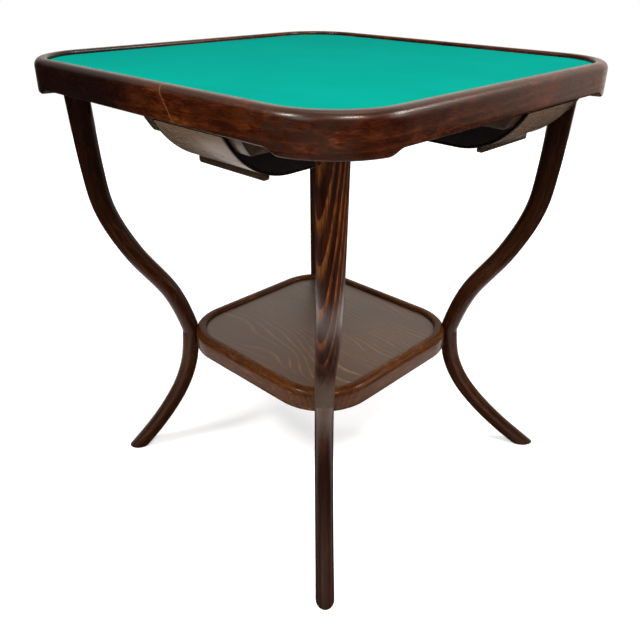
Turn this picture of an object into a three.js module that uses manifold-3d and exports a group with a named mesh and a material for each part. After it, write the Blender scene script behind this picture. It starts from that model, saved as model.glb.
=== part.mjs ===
// A bentwood card table, in millimetres, +Z up, standing on z = 0 with its axis at the origin.
// The front is the -Y side and the right is the +X side. Four drawers hang under the top, one a side.
import * as THREE from 'three';
import { mergeVertices } from 'three/addons/utils/BufferGeometryUtils.js';
import Module from 'manifold-3d';

const wasm = await Module();
wasm.setup();

// Overall sizes
const TABLE_HEIGHT = 768;
const TABLE_WIDTH = 704;
const FIT_GAP = 0.3;
const OVERRUN = 5;

// Top rim, with its panel and cloth
const RIM_CORNER_RADIUS = 110;
const RIM_DEPTH = 51;
const RIM_RISE = 7.5;
const OGEE_LENGTH = 24;
const RIM_TOP_WIDTH = 20;
const RIM_LEDGE = 8;
const RIM_CROWN_RADIUS = 12;
const RIM_LIP_RADIUS = 4;
const RIM_FOOT_RADIUS = 3;
const LIP_HEIGHT = 6.5;
const CLOTH_THICKNESS = 1.5;
const PANEL_THICKNESS = 10;

// Shelf rim and its panel
const SHELF_WIDTH = 392;
const SHELF_CORNER_RADIUS = 98;
const SHELF_HEIGHT = 285;
const SHELF_RIM_DEPTH = 40;
const SHELF_TOP_WIDTH = 20;
const SHELF_LEDGE = 6;
const SHELF_LIP_HEIGHT = 6;
const SHELF_PANEL_THICKNESS = 6;
const SHELF_CROWN_RADIUS = 11;
const SHELF_LIP_RADIUS = 5;
const SHELF_BELLY_RADIUS = 8;
const SHELF_HEEL_RADIUS = 3;
const SHELF_FLAT_DEPTH = 2;

// Legs. A hand-bent leg springs back as it dries, so each foot has its own spread beyond the waist.
const LEG_INSET = 52;
const LEG_TOP_DIAMETER = 40;
const LEG_WAIST_DIAMETER = 31;
const LEG_FOOT_DIAMETER = 29.5;
const WAIST_HEIGHT = 258;
const LEG_SEAT_DEPTH = 1.5;
const TENON_DIAMETER = 22;
const TENON_LENGTH = 25;
const FRONT_RIGHT_SPREAD = 145;
const BACK_RIGHT_SPREAD = 178;
const BACK_LEFT_SPREAD = 150;
const FRONT_LEFT_SPREAD = 126;
// Each pair is a share of the height and the share of the outward sweep reached there.
const RISE_SHARES = [[0.06, 0.012], [0.21, 0.2], [0.375, 0.59], [0.545, 0.855], [0.72, 0.945], [1, 1]];
const DROP_SHARES = [[0.2, 0.052], [0.4, 0.187], [0.6, 0.405], [0.8, 0.68], [1, 1]];

// Corner blocks and screws
const BLOCK_RUNNER_GAP = 5;
const SCREW_DIAMETER = 5;
const SCREW_HEAD_DIAMETER = 9;
const SCREW_HEAD_HEIGHT = 2.6;
const SCREW_TIP_LENGTH = 5;
const SCREW_SLOT_WIDTH = 1.2;
const SCREW_SLOT_DEPTH = 1;
const SCREW_SINK = 0.6;
const SHELF_SCREW_BITE = 18;
const TENON_SCREW_BITE = 16;

// Drawers, as seen from outside the side that they open on. A drawer and its two runners fill the space
// from just past the middle of the side to just short of the corner block.
const DRAWER_MIDDLE_INSET = 4.7;
const DRAWER_CORNER_INSET = 153.7;
const DRAWER_DEPTH = 226;
const DRAWER_HEIGHT = 63.5;
const DRAWER_FRONT_RADIUS = 120;
const DRAWER_FRONT_INSET = 4;
const DRAWER_TOP_GAP = 2;
const DRAWER_TRAVEL = 145;
const SHEET_THICKNESS = 4;
const END_THICKNESS = 7;
const BACK_THICKNESS = 7;
const BACK_DROP = 6;
const PULL_THICKNESS = 8;
const PULL_LENGTH_MARGIN = 4;
const PULL_INSET = 70;
const PULL_DEPTH = 9;
const PULL_ROUND = 4;

// Drawer runners and the slide battens in their grooves
const RUNNER_WIDTH = 25;
const RUNNER_SETBACK = 4;
const RUNNER_DROP = 22;
const RUNNER_OVERHANG = 12;
const SIDE_CLEARANCE = 0.8;
const SLIDE_LENGTH = 50;
const SLIDE_HEIGHT = 8;
const SLIDE_ENTRY = 6;
const SLIDE_END_MARGIN = 1;
const GROOVE_FLOOR = 5.5;

// How finely round shapes are divided
const CORNER_STEPS = 12;
const OGEE_STEPS = 6;
const SECTION_ARC_DIVISIONS = 2;
const LEG_STEPS = 36;
const LEG_SIDES = 18;
const BORE_SIDES = 16;
const TENON_SIDES = 24;
const DRAWER_ARC_DIVISIONS = 6;

// Levels and reaches that follow from the sizes
const halfTop = TABLE_WIDTH / 2;
const rimThickness = RIM_TOP_WIDTH + RIM_LEDGE;
const rimCornerBottom = TABLE_HEIGHT - RIM_DEPTH;
const rimSideBottom = rimCornerBottom + RIM_RISE;
const clothTop = TABLE_HEIGHT - LIP_HEIGHT;
const panelTop = clothTop - CLOTH_THICKNESS;
const panelBottom = panelTop - PANEL_THICKNESS;

const shelfBottom = SHELF_HEIGHT - SHELF_RIM_DEPTH;
const shelfPanelTop = SHELF_HEIGHT - SHELF_LIP_HEIGHT;
const shelfPanelBottom = shelfPanelTop - SHELF_PANEL_THICKNESS;
const shelfScrewHeight = (shelfPanelBottom + shelfBottom) / 2;

const shelfReach = cornerReach(SHELF_WIDTH / 2, SHELF_CORNER_RADIUS);
const shelfFlatReach = shelfReach - SHELF_FLAT_DEPTH;
const shelfInnerReach = shelfReach - SHELF_TOP_WIDTH - SHELF_LEDGE;
const seatReach = shelfFlatReach + FIT_GAP;
const waistReach = seatReach - LEG_SEAT_DEPTH + LEG_WAIST_DIAMETER / 2;
const legTopReach = cornerReach(halfTop, RIM_CORNER_RADIUS) - LEG_INSET;
const tenonScrewHeight = rimCornerBottom + TENON_LENGTH / 2;

const drawerTop = rimSideBottom - DRAWER_TOP_GAP;
const drawerBottom = drawerTop - DRAWER_HEIGHT;
const frontCentreHeight = drawerBottom + DRAWER_FRONT_RADIUS;
const frontCentreInset = DRAWER_FRONT_INSET + arcHalfChord(DRAWER_FRONT_RADIUS, drawerTop);
const runnersEnd = halfTop - DRAWER_CORNER_INSET;
const drawerOffset = (runnersEnd + DRAWER_MIDDLE_INSET) / 2;
const halfDrawer = runnersEnd - drawerOffset - RUNNER_WIDTH - SIDE_CLEARANCE;
const runnerBottom = rimSideBottom - RUNNER_DROP;
const runnerRear = DRAWER_DEPTH + RUNNER_OVERHANG;
const runnerInner = halfDrawer + SIDE_CLEARANCE;
const runnerCorner = runnersEnd + halfTop - rimThickness;
const blockFaceReach = runnerCorner / Math.SQRT2 + BLOCK_RUNNER_GAP;
const grooveBottom = runnerBottom + GROOVE_FLOOR;
const slideRear = DRAWER_DEPTH - SLIDE_END_MARGIN;
const slideFront = slideRear - SLIDE_LENGTH;

// Finishes
const STAINED_WOOD = { color: 0x4a2a19, roughness: 0.32, metalness: 0 };
const BENT_RIM = { color: 0x5e3820, roughness: 0.3, metalness: 0 };
const SHEET_WOOD = { color: 0x4d3a30, roughness: 0.25, metalness: 0 };
const DARK_WOOD = { color: 0x17110f, roughness: 0.35, metalness: 0 };
const SHELF_WOOD = { color: 0x5a463a, roughness: 0.28, metalness: 0 };
const HIDDEN_WOOD = { color: 0x8a6a48, roughness: 0.7, metalness: 0 };
const GREEN_CLOTH = { color: 0x05ad9c, roughness: 0.95, metalness: 0 };
const SCREW_STEEL = { color: 0x9a958c, roughness: 0.35, metalness: 0.9 };

/** How far a rounded square's corner reaches along the diagonal. */
function cornerReach(halfWidth, radius) {
  return (halfWidth - radius) * Math.SQRT2 + radius;
}

/** Half the chord, at a height, of a circle about the drawer front's centre. */
function arcHalfChord(radius, height) {
  return Math.sqrt(radius ** 2 - (frontCentreHeight - height) ** 2);
}

/** The angle, on that circle, of the point in front of its centre at a height. */
function arcAngle(radius, height) {
  return Math.PI + Math.asin((frontCentreHeight - height) / radius);
}

/** A closed surface from its points and triangles, as flat arrays. */
function surface(positions, triangles) {
  const geometry = new THREE.BufferGeometry();
  geometry.setAttribute('position', new THREE.Float32BufferAttribute(positions, 3));
  geometry.setIndex(triangles);
  return geometry;
}

function solidOf(geometry) {
  const bare = geometry.clone();
  bare.deleteAttribute('normal');
  bare.deleteAttribute('uv');
  const merged = mergeVertices(bare);
  const vertProperties = Float32Array.from(merged.attributes.position.array);
  const triVerts = Uint32Array.from(merged.index.array);
  return new wasm.Manifold(new wasm.Mesh({ numProp: 3, vertProperties, triVerts }));
}

function geometryOf(solid) {
  const mesh = solid.getMesh();
  return surface(Array.from(mesh.vertProperties), Array.from(mesh.triVerts));
}

/** A solid less each of the cutters. */
function cutBy(base, cutters) {
  let solid = solidOf(base);
  for (const cutter of cutters) {
    solid = solid.subtract(solidOf(cutter));
  }
  return geometryOf(solid);
}

/** A box from its low and high corners. */
function boxBetween(low, high) {
  const size = new THREE.Vector3().subVectors(high, low);
  const middle = new THREE.Vector3().addVectors(low, high).multiplyScalar(1 / 2);
  return new THREE.BoxGeometry(size.x, size.y, size.z).translate(middle.x, middle.y, middle.z);
}

/** A round bar along X, from one reach to another, at a height. */
function barAlongX(diameter, from, to, height, sides = BORE_SIDES) {
  const bar = new THREE.CylinderGeometry(diameter / 2, diameter / 2, to - from, sides);
  return bar.rotateZ(Math.PI / 2).translate((from + to) / 2, 0, height);
}

function roundedSquare(halfWidth, radius) {
  const middle = halfWidth - radius;
  const outline = new THREE.Shape();
  outline.absarc(middle, middle, radius, 0, Math.PI / 2, false);
  outline.absarc(-middle, middle, radius, Math.PI / 2, Math.PI, false);
  outline.absarc(-middle, -middle, radius, Math.PI, Math.PI * 3 / 2, false);
  outline.absarc(middle, -middle, radius, Math.PI * 3 / 2, Math.PI * 2, false);
  outline.closePath();
  return outline;
}

/** A flat plate with a rounded square outline, between two heights. */
function squarePlate(halfWidth, radius, bottom, top) {
  const options = { depth: top - bottom, bevelEnabled: false, curveSegments: CORNER_STEPS / 2 };
  return new THREE.ExtrudeGeometry(roundedSquare(halfWidth, radius), options).translate(0, 0, bottom);
}

/**
 * The stations of a bent ring: places round a rounded square, each with its outward direction and its
 * share of the way through an ogee. The share is 1 on the sides and falls to 0 within the ends of each
 * corner bend.
 */
function ringStations(halfWidth, radius, ogeeLength) {
  const ogeeSteps = ogeeLength > 0 ? OGEE_STEPS : 0;
  const ogeeAngle = Math.asin(ogeeLength / radius);
  const bendAngle = Math.PI / 2 - ogeeAngle * 2;
  const quarter = [];
  for (let i = 0; i < ogeeSteps; i += 1) {
    quarter.push({ angle: ogeeAngle * i / ogeeSteps, ogee: 1 - i / ogeeSteps });
  }
  for (let i = 0; i <= CORNER_STEPS; i += 1) {
    quarter.push({ angle: ogeeAngle + bendAngle * i / CORNER_STEPS, ogee: 0 });
  }
  for (let i = 1; i <= ogeeSteps; i += 1) {
    quarter.push({ angle: ogeeAngle + bendAngle + ogeeAngle * i / ogeeSteps, ogee: i / ogeeSteps });
  }
  const bendCentre = new THREE.Vector2(halfWidth - radius, halfWidth - radius);
  const origin = new THREE.Vector2();
  const stations = [];
  for (let turn = 0; turn < 4; turn += 1) {
    for (const { angle, ogee } of quarter) {
      const outward = new THREE.Vector2(1, 0).rotateAround(origin, angle);
      const place = outward.clone().multiplyScalar(radius).add(bendCentre);
      place.rotateAround(origin, turn * Math.PI / 2);
      outward.rotateAround(origin, turn * Math.PI / 2);
      stations.push({ place, outward, ogee });
    }
  }
  return stations;
}

/** A ring swept along stations. A section point is its distance in from the outer face, and its height. */
function bentRing(stations, sectionAt) {
  const positions = [];
  const triangles = [];
  const count = sectionAt(stations[0]).length;
  stations.forEach((station, i) => {
    const next = (i + 1) % stations.length;
    sectionAt(station).forEach((point, j) => {
      const place = station.outward.clone().multiplyScalar(-point.x).add(station.place);
      positions.push(place.x, place.y, point.y);
      const across = (j + 1) % count;
      const corners = [i * count + j, next * count + j, next * count + across, i * count + across];
      triangles.push(corners[0], corners[2], corners[1], corners[0], corners[3], corners[2]);
    });
  });
  return surface(positions, triangles);
}

/** The points of a section's outline, without the one that closes it. */
function sectionPoints(path) {
  const points = path.getPoints(SECTION_ARC_DIVISIONS);
  return points.slice(0, -1);
}

function topRimSection(station) {
  const bottom = rimCornerBottom + RIM_RISE * THREE.MathUtils.smoothstep(station.ogee, 0, 1);
  const path = new THREE.Path();
  path.moveTo(rimThickness, bottom);
  path.lineTo(rimThickness, panelBottom);
  path.lineTo(RIM_TOP_WIDTH, panelBottom);
  path.absarc(RIM_TOP_WIDTH - RIM_LIP_RADIUS, TABLE_HEIGHT - RIM_LIP_RADIUS, RIM_LIP_RADIUS, 0, Math.PI / 2);
  path.absarc(RIM_CROWN_RADIUS, TABLE_HEIGHT - RIM_CROWN_RADIUS, RIM_CROWN_RADIUS, Math.PI / 2, Math.PI);
  path.absarc(RIM_FOOT_RADIUS, bottom + RIM_FOOT_RADIUS, RIM_FOOT_RADIUS, Math.PI, Math.PI * 3 / 2);
  path.lineTo(rimThickness, bottom);
  return sectionPoints(path);
}

function shelfRimSection() {
  const inner = SHELF_TOP_WIDTH + SHELF_LEDGE;
  const path = new THREE.Path();
  path.moveTo(inner, shelfPanelBottom);
  path.lineTo(SHELF_TOP_WIDTH, shelfPanelBottom);
  const lip = SHELF_LIP_RADIUS;
  path.absarc(SHELF_TOP_WIDTH - lip, SHELF_HEIGHT - lip, lip, 0, Math.PI / 2);
  const crown = SHELF_CROWN_RADIUS;
  path.absarc(crown, SHELF_HEIGHT - crown, crown, Math.PI / 2, Math.PI);
  const belly = SHELF_BELLY_RADIUS;
  path.absarc(belly, shelfBottom + belly, belly, Math.PI, Math.PI * 3 / 2);
  const heel = SHELF_HEEL_RADIUS;
  path.absarc(inner - heel, shelfBottom + heel, heel, Math.PI * 3 / 2, Math.PI * 2);
  path.lineTo(inner, shelfPanelBottom);
  return sectionPoints(path);
}

/** A slotted wood screw along Y, with its tip at the origin. */
function woodScrew(length) {
  const radius = SCREW_DIAMETER / 2;
  const neck = length - SCREW_HEAD_HEIGHT;
  const profile = [
    new THREE.Vector2(0, 0),
    new THREE.Vector2(radius, SCREW_TIP_LENGTH),
    new THREE.Vector2(radius, neck),
    new THREE.Vector2(SCREW_HEAD_DIAMETER / 2, length),
    new THREE.Vector2(0, length),
  ];
  const halfSlot = SCREW_SLOT_WIDTH / 2;
  const slotLow = new THREE.Vector3(-SCREW_HEAD_DIAMETER, length - SCREW_SLOT_DEPTH, -halfSlot);
  const slotHigh = new THREE.Vector3(SCREW_HEAD_DIAMETER, length + OVERRUN, halfSlot);
  return cutBy(new THREE.LatheGeometry(profile, BORE_SIDES), [boxBetween(slotLow, slotHigh)]);
}

/** The centre line of a leg, from foot to shoulder, as distance from the table's axis and height. */
function legLine(spread) {
  const shoulder = rimCornerBottom - WAIST_HEIGHT;
  const sweep = legTopReach - waistReach;
  const lower = DROP_SHARES.map(([down, out]) => (
    new THREE.Vector2(waistReach + spread * out, WAIST_HEIGHT * (1 - down))));
  const upper = RISE_SHARES.map(([up, out]) => (
    new THREE.Vector2(waistReach + sweep * out, WAIST_HEIGHT + shoulder * up)));
  const waist = new THREE.Vector2(waistReach, WAIST_HEIGHT);
  return new THREE.SplineCurve([...lower.reverse(), waist, ...upper]);
}

function legRadius(height) {
  if (height < WAIST_HEIGHT) {
    return THREE.MathUtils.lerp(LEG_FOOT_DIAMETER, LEG_WAIST_DIAMETER, height / WAIST_HEIGHT) / 2;
  }
  const share = (height - WAIST_HEIGHT) / (rimCornerBottom - WAIST_HEIGHT);
  return THREE.MathUtils.lerp(LEG_WAIST_DIAMETER, LEG_TOP_DIAMETER, share) / 2;
}

/** A round tapered bar along the leg line, cut level at both ends. */
function bentBar(line) {
  const positions = [];
  const triangles = [];
  const side = new THREE.Vector3(0, 1, 0);
  const up = new THREE.Vector3(0, 0, 1);
  for (let i = 0; i <= LEG_STEPS; i += 1) {
    const at = line.getPointAt(i / LEG_STEPS);
    const flatTangent = line.getTangentAt(i / LEG_STEPS);
    const centre = new THREE.Vector3(at.x, 0, at.y);
    const tangent = new THREE.Vector3(flatTangent.x, 0, flatTangent.y);
    const across = new THREE.Vector3().crossVectors(side, tangent);
    const level = i === 0 || i === LEG_STEPS;
    const radius = legRadius(at.y);
    for (let j = 0; j < LEG_SIDES; j += 1) {
      const angle = (j / LEG_SIDES) * Math.PI * 2;
      const spoke = across.clone().multiplyScalar(radius * Math.cos(angle));
      spoke.addScaledVector(side, radius * Math.sin(angle));
      if (level) {
        spoke.addScaledVector(tangent, -spoke.dot(up) / tangent.dot(up));
      }
      spoke.add(centre);
      positions.push(spoke.x, spoke.y, level ? at.y : spoke.z);
    }
  }
  for (let i = 0; i < LEG_STEPS; i += 1) {
    for (let j = 0; j < LEG_SIDES; j += 1) {
      const next = (j + 1) % LEG_SIDES;
      const low = i * LEG_SIDES;
      const high = low + LEG_SIDES;
      triangles.push(low + j, low + next, high + next, low + j, high + next, high + j);
    }
  }
  const lastRing = LEG_STEPS * LEG_SIDES;
  for (let j = 1; j < LEG_SIDES - 1; j += 1) {
    triangles.push(0, j + 1, j, lastRing, lastRing + j, lastRing + j + 1);
  }
  return surface(positions, triangles);
}

/** A leg in the plane of its diagonal, +X outward: tenon at the top, seat and screw bore at the waist. */
function legGeometry(spread) {
  const bar = solidOf(bentBar(legLine(spread)));
  const tenonRadius = TENON_DIAMETER / 2;
  const tenonLength = TENON_LENGTH + OVERRUN;
  const tenon = new THREE.CylinderGeometry(tenonRadius, tenonRadius, tenonLength, TENON_SIDES);
  tenon.rotateX(Math.PI / 2).translate(legTopReach, 0, rimCornerBottom - OVERRUN + tenonLength / 2);
  const joined = geometryOf(bar.add(solidOf(tenon)));
  const seat = boxBetween(
    new THREE.Vector3(seatReach - LEG_WAIST_DIAMETER, -LEG_WAIST_DIAMETER, shelfBottom - OVERRUN),
    new THREE.Vector3(seatReach, LEG_WAIST_DIAMETER, SHELF_HEIGHT + OVERRUN),
  );
  const bore = SCREW_DIAMETER + FIT_GAP * 2;
  const tenonFace = legTopReach - tenonRadius;
  return cutBy(joined, [
    seat,
    barAlongX(bore, seatReach - OVERRUN, seatReach + SHELF_SCREW_BITE + FIT_GAP, shelfScrewHeight),
    barAlongX(bore, tenonFace - OVERRUN, tenonFace + TENON_SCREW_BITE + FIT_GAP, tenonScrewHeight),
  ]);
}

/** A block that fills the rim's corner, bored for the tenon and its locking screw. */
function blockGeometry() {
  const half = halfTop - rimThickness - FIT_GAP;
  const radius = RIM_CORNER_RADIUS - rimThickness - FIT_GAP;
  const corner = squarePlate(half, radius, rimCornerBottom, panelBottom).rotateZ(Math.PI / 4);
  const keep = boxBetween(
    new THREE.Vector3(blockFaceReach, -halfTop, rimCornerBottom - OVERRUN),
    new THREE.Vector3(TABLE_WIDTH, halfTop, TABLE_HEIGHT),
  );
  const block = geometryOf(solidOf(corner).intersect(solidOf(keep)));
  const tenonBoreRadius = TENON_DIAMETER / 2 + FIT_GAP;
  const boreDepth = TENON_LENGTH + FIT_GAP + OVERRUN;
  const tenonBore = new THREE.CylinderGeometry(tenonBoreRadius, tenonBoreRadius, boreDepth, TENON_SIDES);
  tenonBore.rotateX(Math.PI / 2).translate(legTopReach, 0, rimCornerBottom - OVERRUN + boreDepth / 2);
  const bore = SCREW_DIAMETER + FIT_GAP * 2;
  const headBore = SCREW_HEAD_DIAMETER + FIT_GAP * 2;
  const headFloor = blockFaceReach + SCREW_SINK + SCREW_HEAD_HEIGHT + FIT_GAP;
  return cutBy(block, [
    tenonBore,
    barAlongX(bore, blockFaceReach - OVERRUN, legTopReach, tenonScrewHeight),
    barAlongX(headBore, blockFaceReach - OVERRUN, headFloor, tenonScrewHeight),
  ]);
}

/** The shelf's rim, planed flat and bored at each corner for its leg. */
function shelfRimGeometry() {
  const ring = bentRing(ringStations(SHELF_WIDTH / 2, SHELF_CORNER_RADIUS, 0), shelfRimSection);
  const cutters = [];
  for (let turn = 0; turn < 4; turn += 1) {
    const angle = Math.PI / 4 + turn * Math.PI / 2;
    const flat = boxBetween(
      new THREE.Vector3(shelfFlatReach, -SHELF_CORNER_RADIUS, shelfBottom - OVERRUN),
      new THREE.Vector3(shelfFlatReach + SHELF_CORNER_RADIUS, SHELF_CORNER_RADIUS, SHELF_HEIGHT + OVERRUN),
    );
    const face = shelfInnerReach - OVERRUN;
    const headFloor = shelfInnerReach + SCREW_SINK + SCREW_HEAD_HEIGHT + FIT_GAP;
    const bore = barAlongX(SCREW_DIAMETER + FIT_GAP * 2, face, shelfFlatReach + OVERRUN, shelfScrewHeight);
    const headBore = barAlongX(SCREW_HEAD_DIAMETER + FIT_GAP * 2, face, headFloor, shelfScrewHeight);
    cutters.push(flat.rotateZ(angle), bore.rotateZ(angle), headBore.rotateZ(angle));
  }
  return cutBy(ring, cutters);
}

/** An outline of distance in from the table's side, and height, pulled out across the side. */
function acrossSide(outline, left, right) {
  const options = { depth: right - left, bevelEnabled: false, curveSegments: DRAWER_ARC_DIVISIONS };
  const inward = new THREE.Vector3(0, 1, 0);
  const up = new THREE.Vector3(0, 0, 1);
  const rightward = new THREE.Vector3(1, 0, 0);
  const turned = new THREE.Matrix4().makeBasis(inward, up, rightward);
  const prism = new THREE.ExtrudeGeometry(outline, options).applyMatrix4(turned);
  return prism.translate(drawerOffset + left, -halfTop, 0);
}

/** A box given across, in from the table's side, and up. */
function sideBox(left, right, front, rear, bottom, top) {
  const low = new THREE.Vector3(drawerOffset + left, front - halfTop, bottom);
  const high = new THREE.Vector3(drawerOffset + right, rear - halfTop, top);
  return boxBetween(low, high);
}

/** The front and the bottom of a drawer, bent from one sheet. */
function drawerShell() {
  const outer = DRAWER_FRONT_RADIUS;
  const inner = outer - SHEET_THICKNESS;
  const outline = new THREE.Shape();
  const low = Math.PI * 3 / 2;
  outline.absarc(frontCentreInset, frontCentreHeight, outer, arcAngle(outer, drawerTop), low, false);
  outline.lineTo(DRAWER_DEPTH, drawerBottom);
  outline.lineTo(DRAWER_DEPTH, drawerBottom + SHEET_THICKNESS);
  outline.absarc(frontCentreInset, frontCentreHeight, inner, low, arcAngle(inner, drawerTop), true);
  outline.closePath();
  return acrossSide(outline, -halfDrawer, halfDrawer);
}

function drawerEnd(left, right) {
  const radius = DRAWER_FRONT_RADIUS - SHEET_THICKNESS - FIT_GAP;
  const outline = new THREE.Shape();
  const start = arcAngle(radius, drawerTop);
  outline.absarc(frontCentreInset, frontCentreHeight, radius, start, Math.PI * 3 / 2, false);
  outline.lineTo(DRAWER_DEPTH, frontCentreHeight - radius);
  outline.lineTo(DRAWER_DEPTH, drawerTop);
  outline.closePath();
  return acrossSide(outline, left, right);
}

function drawerBack() {
  const half = halfDrawer - END_THICKNESS - FIT_GAP;
  const rear = DRAWER_DEPTH;
  const bottom = drawerBottom + SHEET_THICKNESS;
  return sideBox(-half, half, rear - BACK_THICKNESS, rear, bottom, drawerTop - BACK_DROP);
}

/** The finger batten under the curve of the front, with rounded lower corners. */
function drawerPull() {
  const seat = DRAWER_FRONT_RADIUS + FIT_GAP;
  const rear = PULL_INSET + PULL_THICKNESS;
  const frontTop = frontCentreHeight - Math.sqrt(seat ** 2 - (frontCentreInset - PULL_INSET) ** 2);
  const rearTop = frontCentreHeight - Math.sqrt(seat ** 2 - (frontCentreInset - rear) ** 2);
  const bottom = frontTop - PULL_DEPTH;
  const profile = new THREE.Shape();
  profile.moveTo(PULL_INSET, bottom);
  profile.lineTo(rear, bottom);
  profile.lineTo(rear, rearTop);
  profile.lineTo(PULL_INSET, frontTop);
  profile.closePath();
  const half = halfDrawer - PULL_LENGTH_MARGIN;
  const batten = solidOf(acrossSide(profile, -half, half));
  const face = new THREE.Shape();
  face.moveTo(half, frontTop);
  face.lineTo(-half, frontTop);
  face.absarc(-half + PULL_ROUND, bottom + PULL_ROUND, PULL_ROUND, Math.PI, Math.PI * 3 / 2, false);
  face.absarc(half - PULL_ROUND, bottom + PULL_ROUND, PULL_ROUND, Math.PI * 3 / 2, Math.PI * 2, false);
  face.closePath();
  const depth = PULL_THICKNESS + OVERRUN * 2;
  const options = { depth, bevelEnabled: false, curveSegments: SECTION_ARC_DIVISIONS };
  const mould = new THREE.ExtrudeGeometry(face, options).rotateX(Math.PI / 2);
  mould.translate(drawerOffset, rear + OVERRUN - halfTop, 0);
  return geometryOf(batten.intersect(solidOf(mould)));
}

/** A fixed runner beside a drawer. Its front passes under the rim and follows the curve of the drawer. */
function runner(hand) {
  const radius = DRAWER_FRONT_RADIUS - RUNNER_SETBACK;
  const tongueTop = rimSideBottom - FIT_GAP;
  const shoulder = rimThickness + FIT_GAP;
  const outline = new THREE.Shape();
  outline.moveTo(shoulder, panelBottom);
  outline.lineTo(shoulder, tongueTop);
  const from = arcAngle(radius, tongueTop);
  const to = arcAngle(radius, runnerBottom);
  outline.absarc(frontCentreInset, frontCentreHeight, radius, from, to, false);
  outline.lineTo(runnerRear, runnerBottom);
  outline.lineTo(runnerRear, panelBottom);
  outline.closePath();
  const near = hand * runnerInner;
  const far = hand * (runnerInner + RUNNER_WIDTH);
  const grooveNear = hand * (runnerInner - OVERRUN);
  const grooveFar = hand * (runnerInner + SLIDE_ENTRY + FIT_GAP);
  const groove = sideBox(
    Math.min(grooveNear, grooveFar),
    Math.max(grooveNear, grooveFar),
    slideFront - DRAWER_TRAVEL - FIT_GAP,
    slideRear + FIT_GAP,
    grooveBottom,
    grooveBottom + SLIDE_HEIGHT + FIT_GAP * 2,
  );
  return cutBy(acrossSide(outline, Math.min(near, far), Math.max(near, far)), [groove]);
}

/** The batten on a drawer's end that slides in the runner's groove. */
function slide(hand) {
  const near = hand * halfDrawer;
  const far = hand * (runnerInner + SLIDE_ENTRY);
  const left = Math.min(near, far);
  const right = Math.max(near, far);
  const bottom = grooveBottom + FIT_GAP;
  return sideBox(left, right, slideFront, slideRear, bottom, bottom + SLIDE_HEIGHT);
}

/** A named mesh with a finish of its own. */
function piece(name, geometry, finish) {
  const flat = geometry.index ? geometry.toNonIndexed() : geometry;
  flat.computeVertexNormals();
  const mesh = new THREE.Mesh(flat, new THREE.MeshStandardMaterial(finish));
  mesh.name = name;
  return mesh;
}

function topAssembly() {
  const group = new THREE.Group();
  const half = halfTop - RIM_TOP_WIDTH - FIT_GAP;
  const radius = RIM_CORNER_RADIUS - RIM_TOP_WIDTH - FIT_GAP;
  const stations = ringStations(halfTop, RIM_CORNER_RADIUS, OGEE_LENGTH);
  group.add(piece('top_rim', bentRing(stations, topRimSection), BENT_RIM));
  group.add(piece('top_panel', squarePlate(half, radius, panelBottom, panelTop), HIDDEN_WOOD));
  group.add(piece('playing_cloth', squarePlate(half, radius, panelTop, clothTop), GREEN_CLOTH));
  return group;
}

function shelfAssembly() {
  const group = new THREE.Group();
  const half = SHELF_WIDTH / 2 - SHELF_TOP_WIDTH - FIT_GAP;
  const radius = SHELF_CORNER_RADIUS - SHELF_TOP_WIDTH - FIT_GAP;
  group.add(piece('shelf_rim', shelfRimGeometry(), STAINED_WOOD));
  group.add(piece('shelf_panel', squarePlate(half, radius, shelfPanelBottom, shelfPanelTop), SHELF_WOOD));
  return group;
}

/** A leg with its corner block and its two screws, built along +X and turned to its corner. */
function cornerAssembly(name, angle, spread) {
  const group = new THREE.Group();
  group.add(piece(`${name}_leg`, legGeometry(spread), STAINED_WOOD));
  group.add(piece(`${name}_corner_block`, blockGeometry(), HIDDEN_WOOD));
  const tenonScrewHead = blockFaceReach + SCREW_SINK;
  const tenonScrewTip = legTopReach - TENON_DIAMETER / 2 + TENON_SCREW_BITE;
  const tenonScrew = piece(`${name}_leg_screw`, woodScrew(tenonScrewTip - tenonScrewHead), SCREW_STEEL);
  tenonScrew.rotation.z = Math.PI / 2;
  tenonScrew.position.set(tenonScrewTip, 0, tenonScrewHeight);
  const shelfScrewHead = shelfInnerReach + SCREW_SINK;
  const shelfScrewTip = seatReach + SHELF_SCREW_BITE;
  const shelfScrew = piece(`${name}_shelf_screw`, woodScrew(shelfScrewTip - shelfScrewHead), SCREW_STEEL);
  shelfScrew.rotation.z = Math.PI / 2;
  shelfScrew.position.set(shelfScrewTip, 0, shelfScrewHeight);
  group.add(tenonScrew, shelfScrew);
  group.rotation.z = angle;
  return group;
}

/** A drawer with its two runners, built under the front side and turned to its own side. */
function drawerAssembly(name, angle) {
  const group = new THREE.Group();
  const inside = halfDrawer - END_THICKNESS;
  group.add(piece(`${name}_drawer_shell`, drawerShell(), SHEET_WOOD));
  group.add(piece(`${name}_drawer_left_end`, drawerEnd(-halfDrawer, -inside), DARK_WOOD));
  group.add(piece(`${name}_drawer_right_end`, drawerEnd(inside, halfDrawer), DARK_WOOD));
  group.add(piece(`${name}_drawer_back`, drawerBack(), DARK_WOOD));
  group.add(piece(`${name}_drawer_pull`, drawerPull(), SHEET_WOOD));
  group.add(piece(`${name}_drawer_left_slide`, slide(-1), HIDDEN_WOOD));
  group.add(piece(`${name}_drawer_right_slide`, slide(1), HIDDEN_WOOD));
  group.add(piece(`${name}_left_runner`, runner(-1), SHEET_WOOD));
  group.add(piece(`${name}_right_runner`, runner(1), SHEET_WOOD));
  group.rotation.z = angle;
  return group;
}

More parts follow.
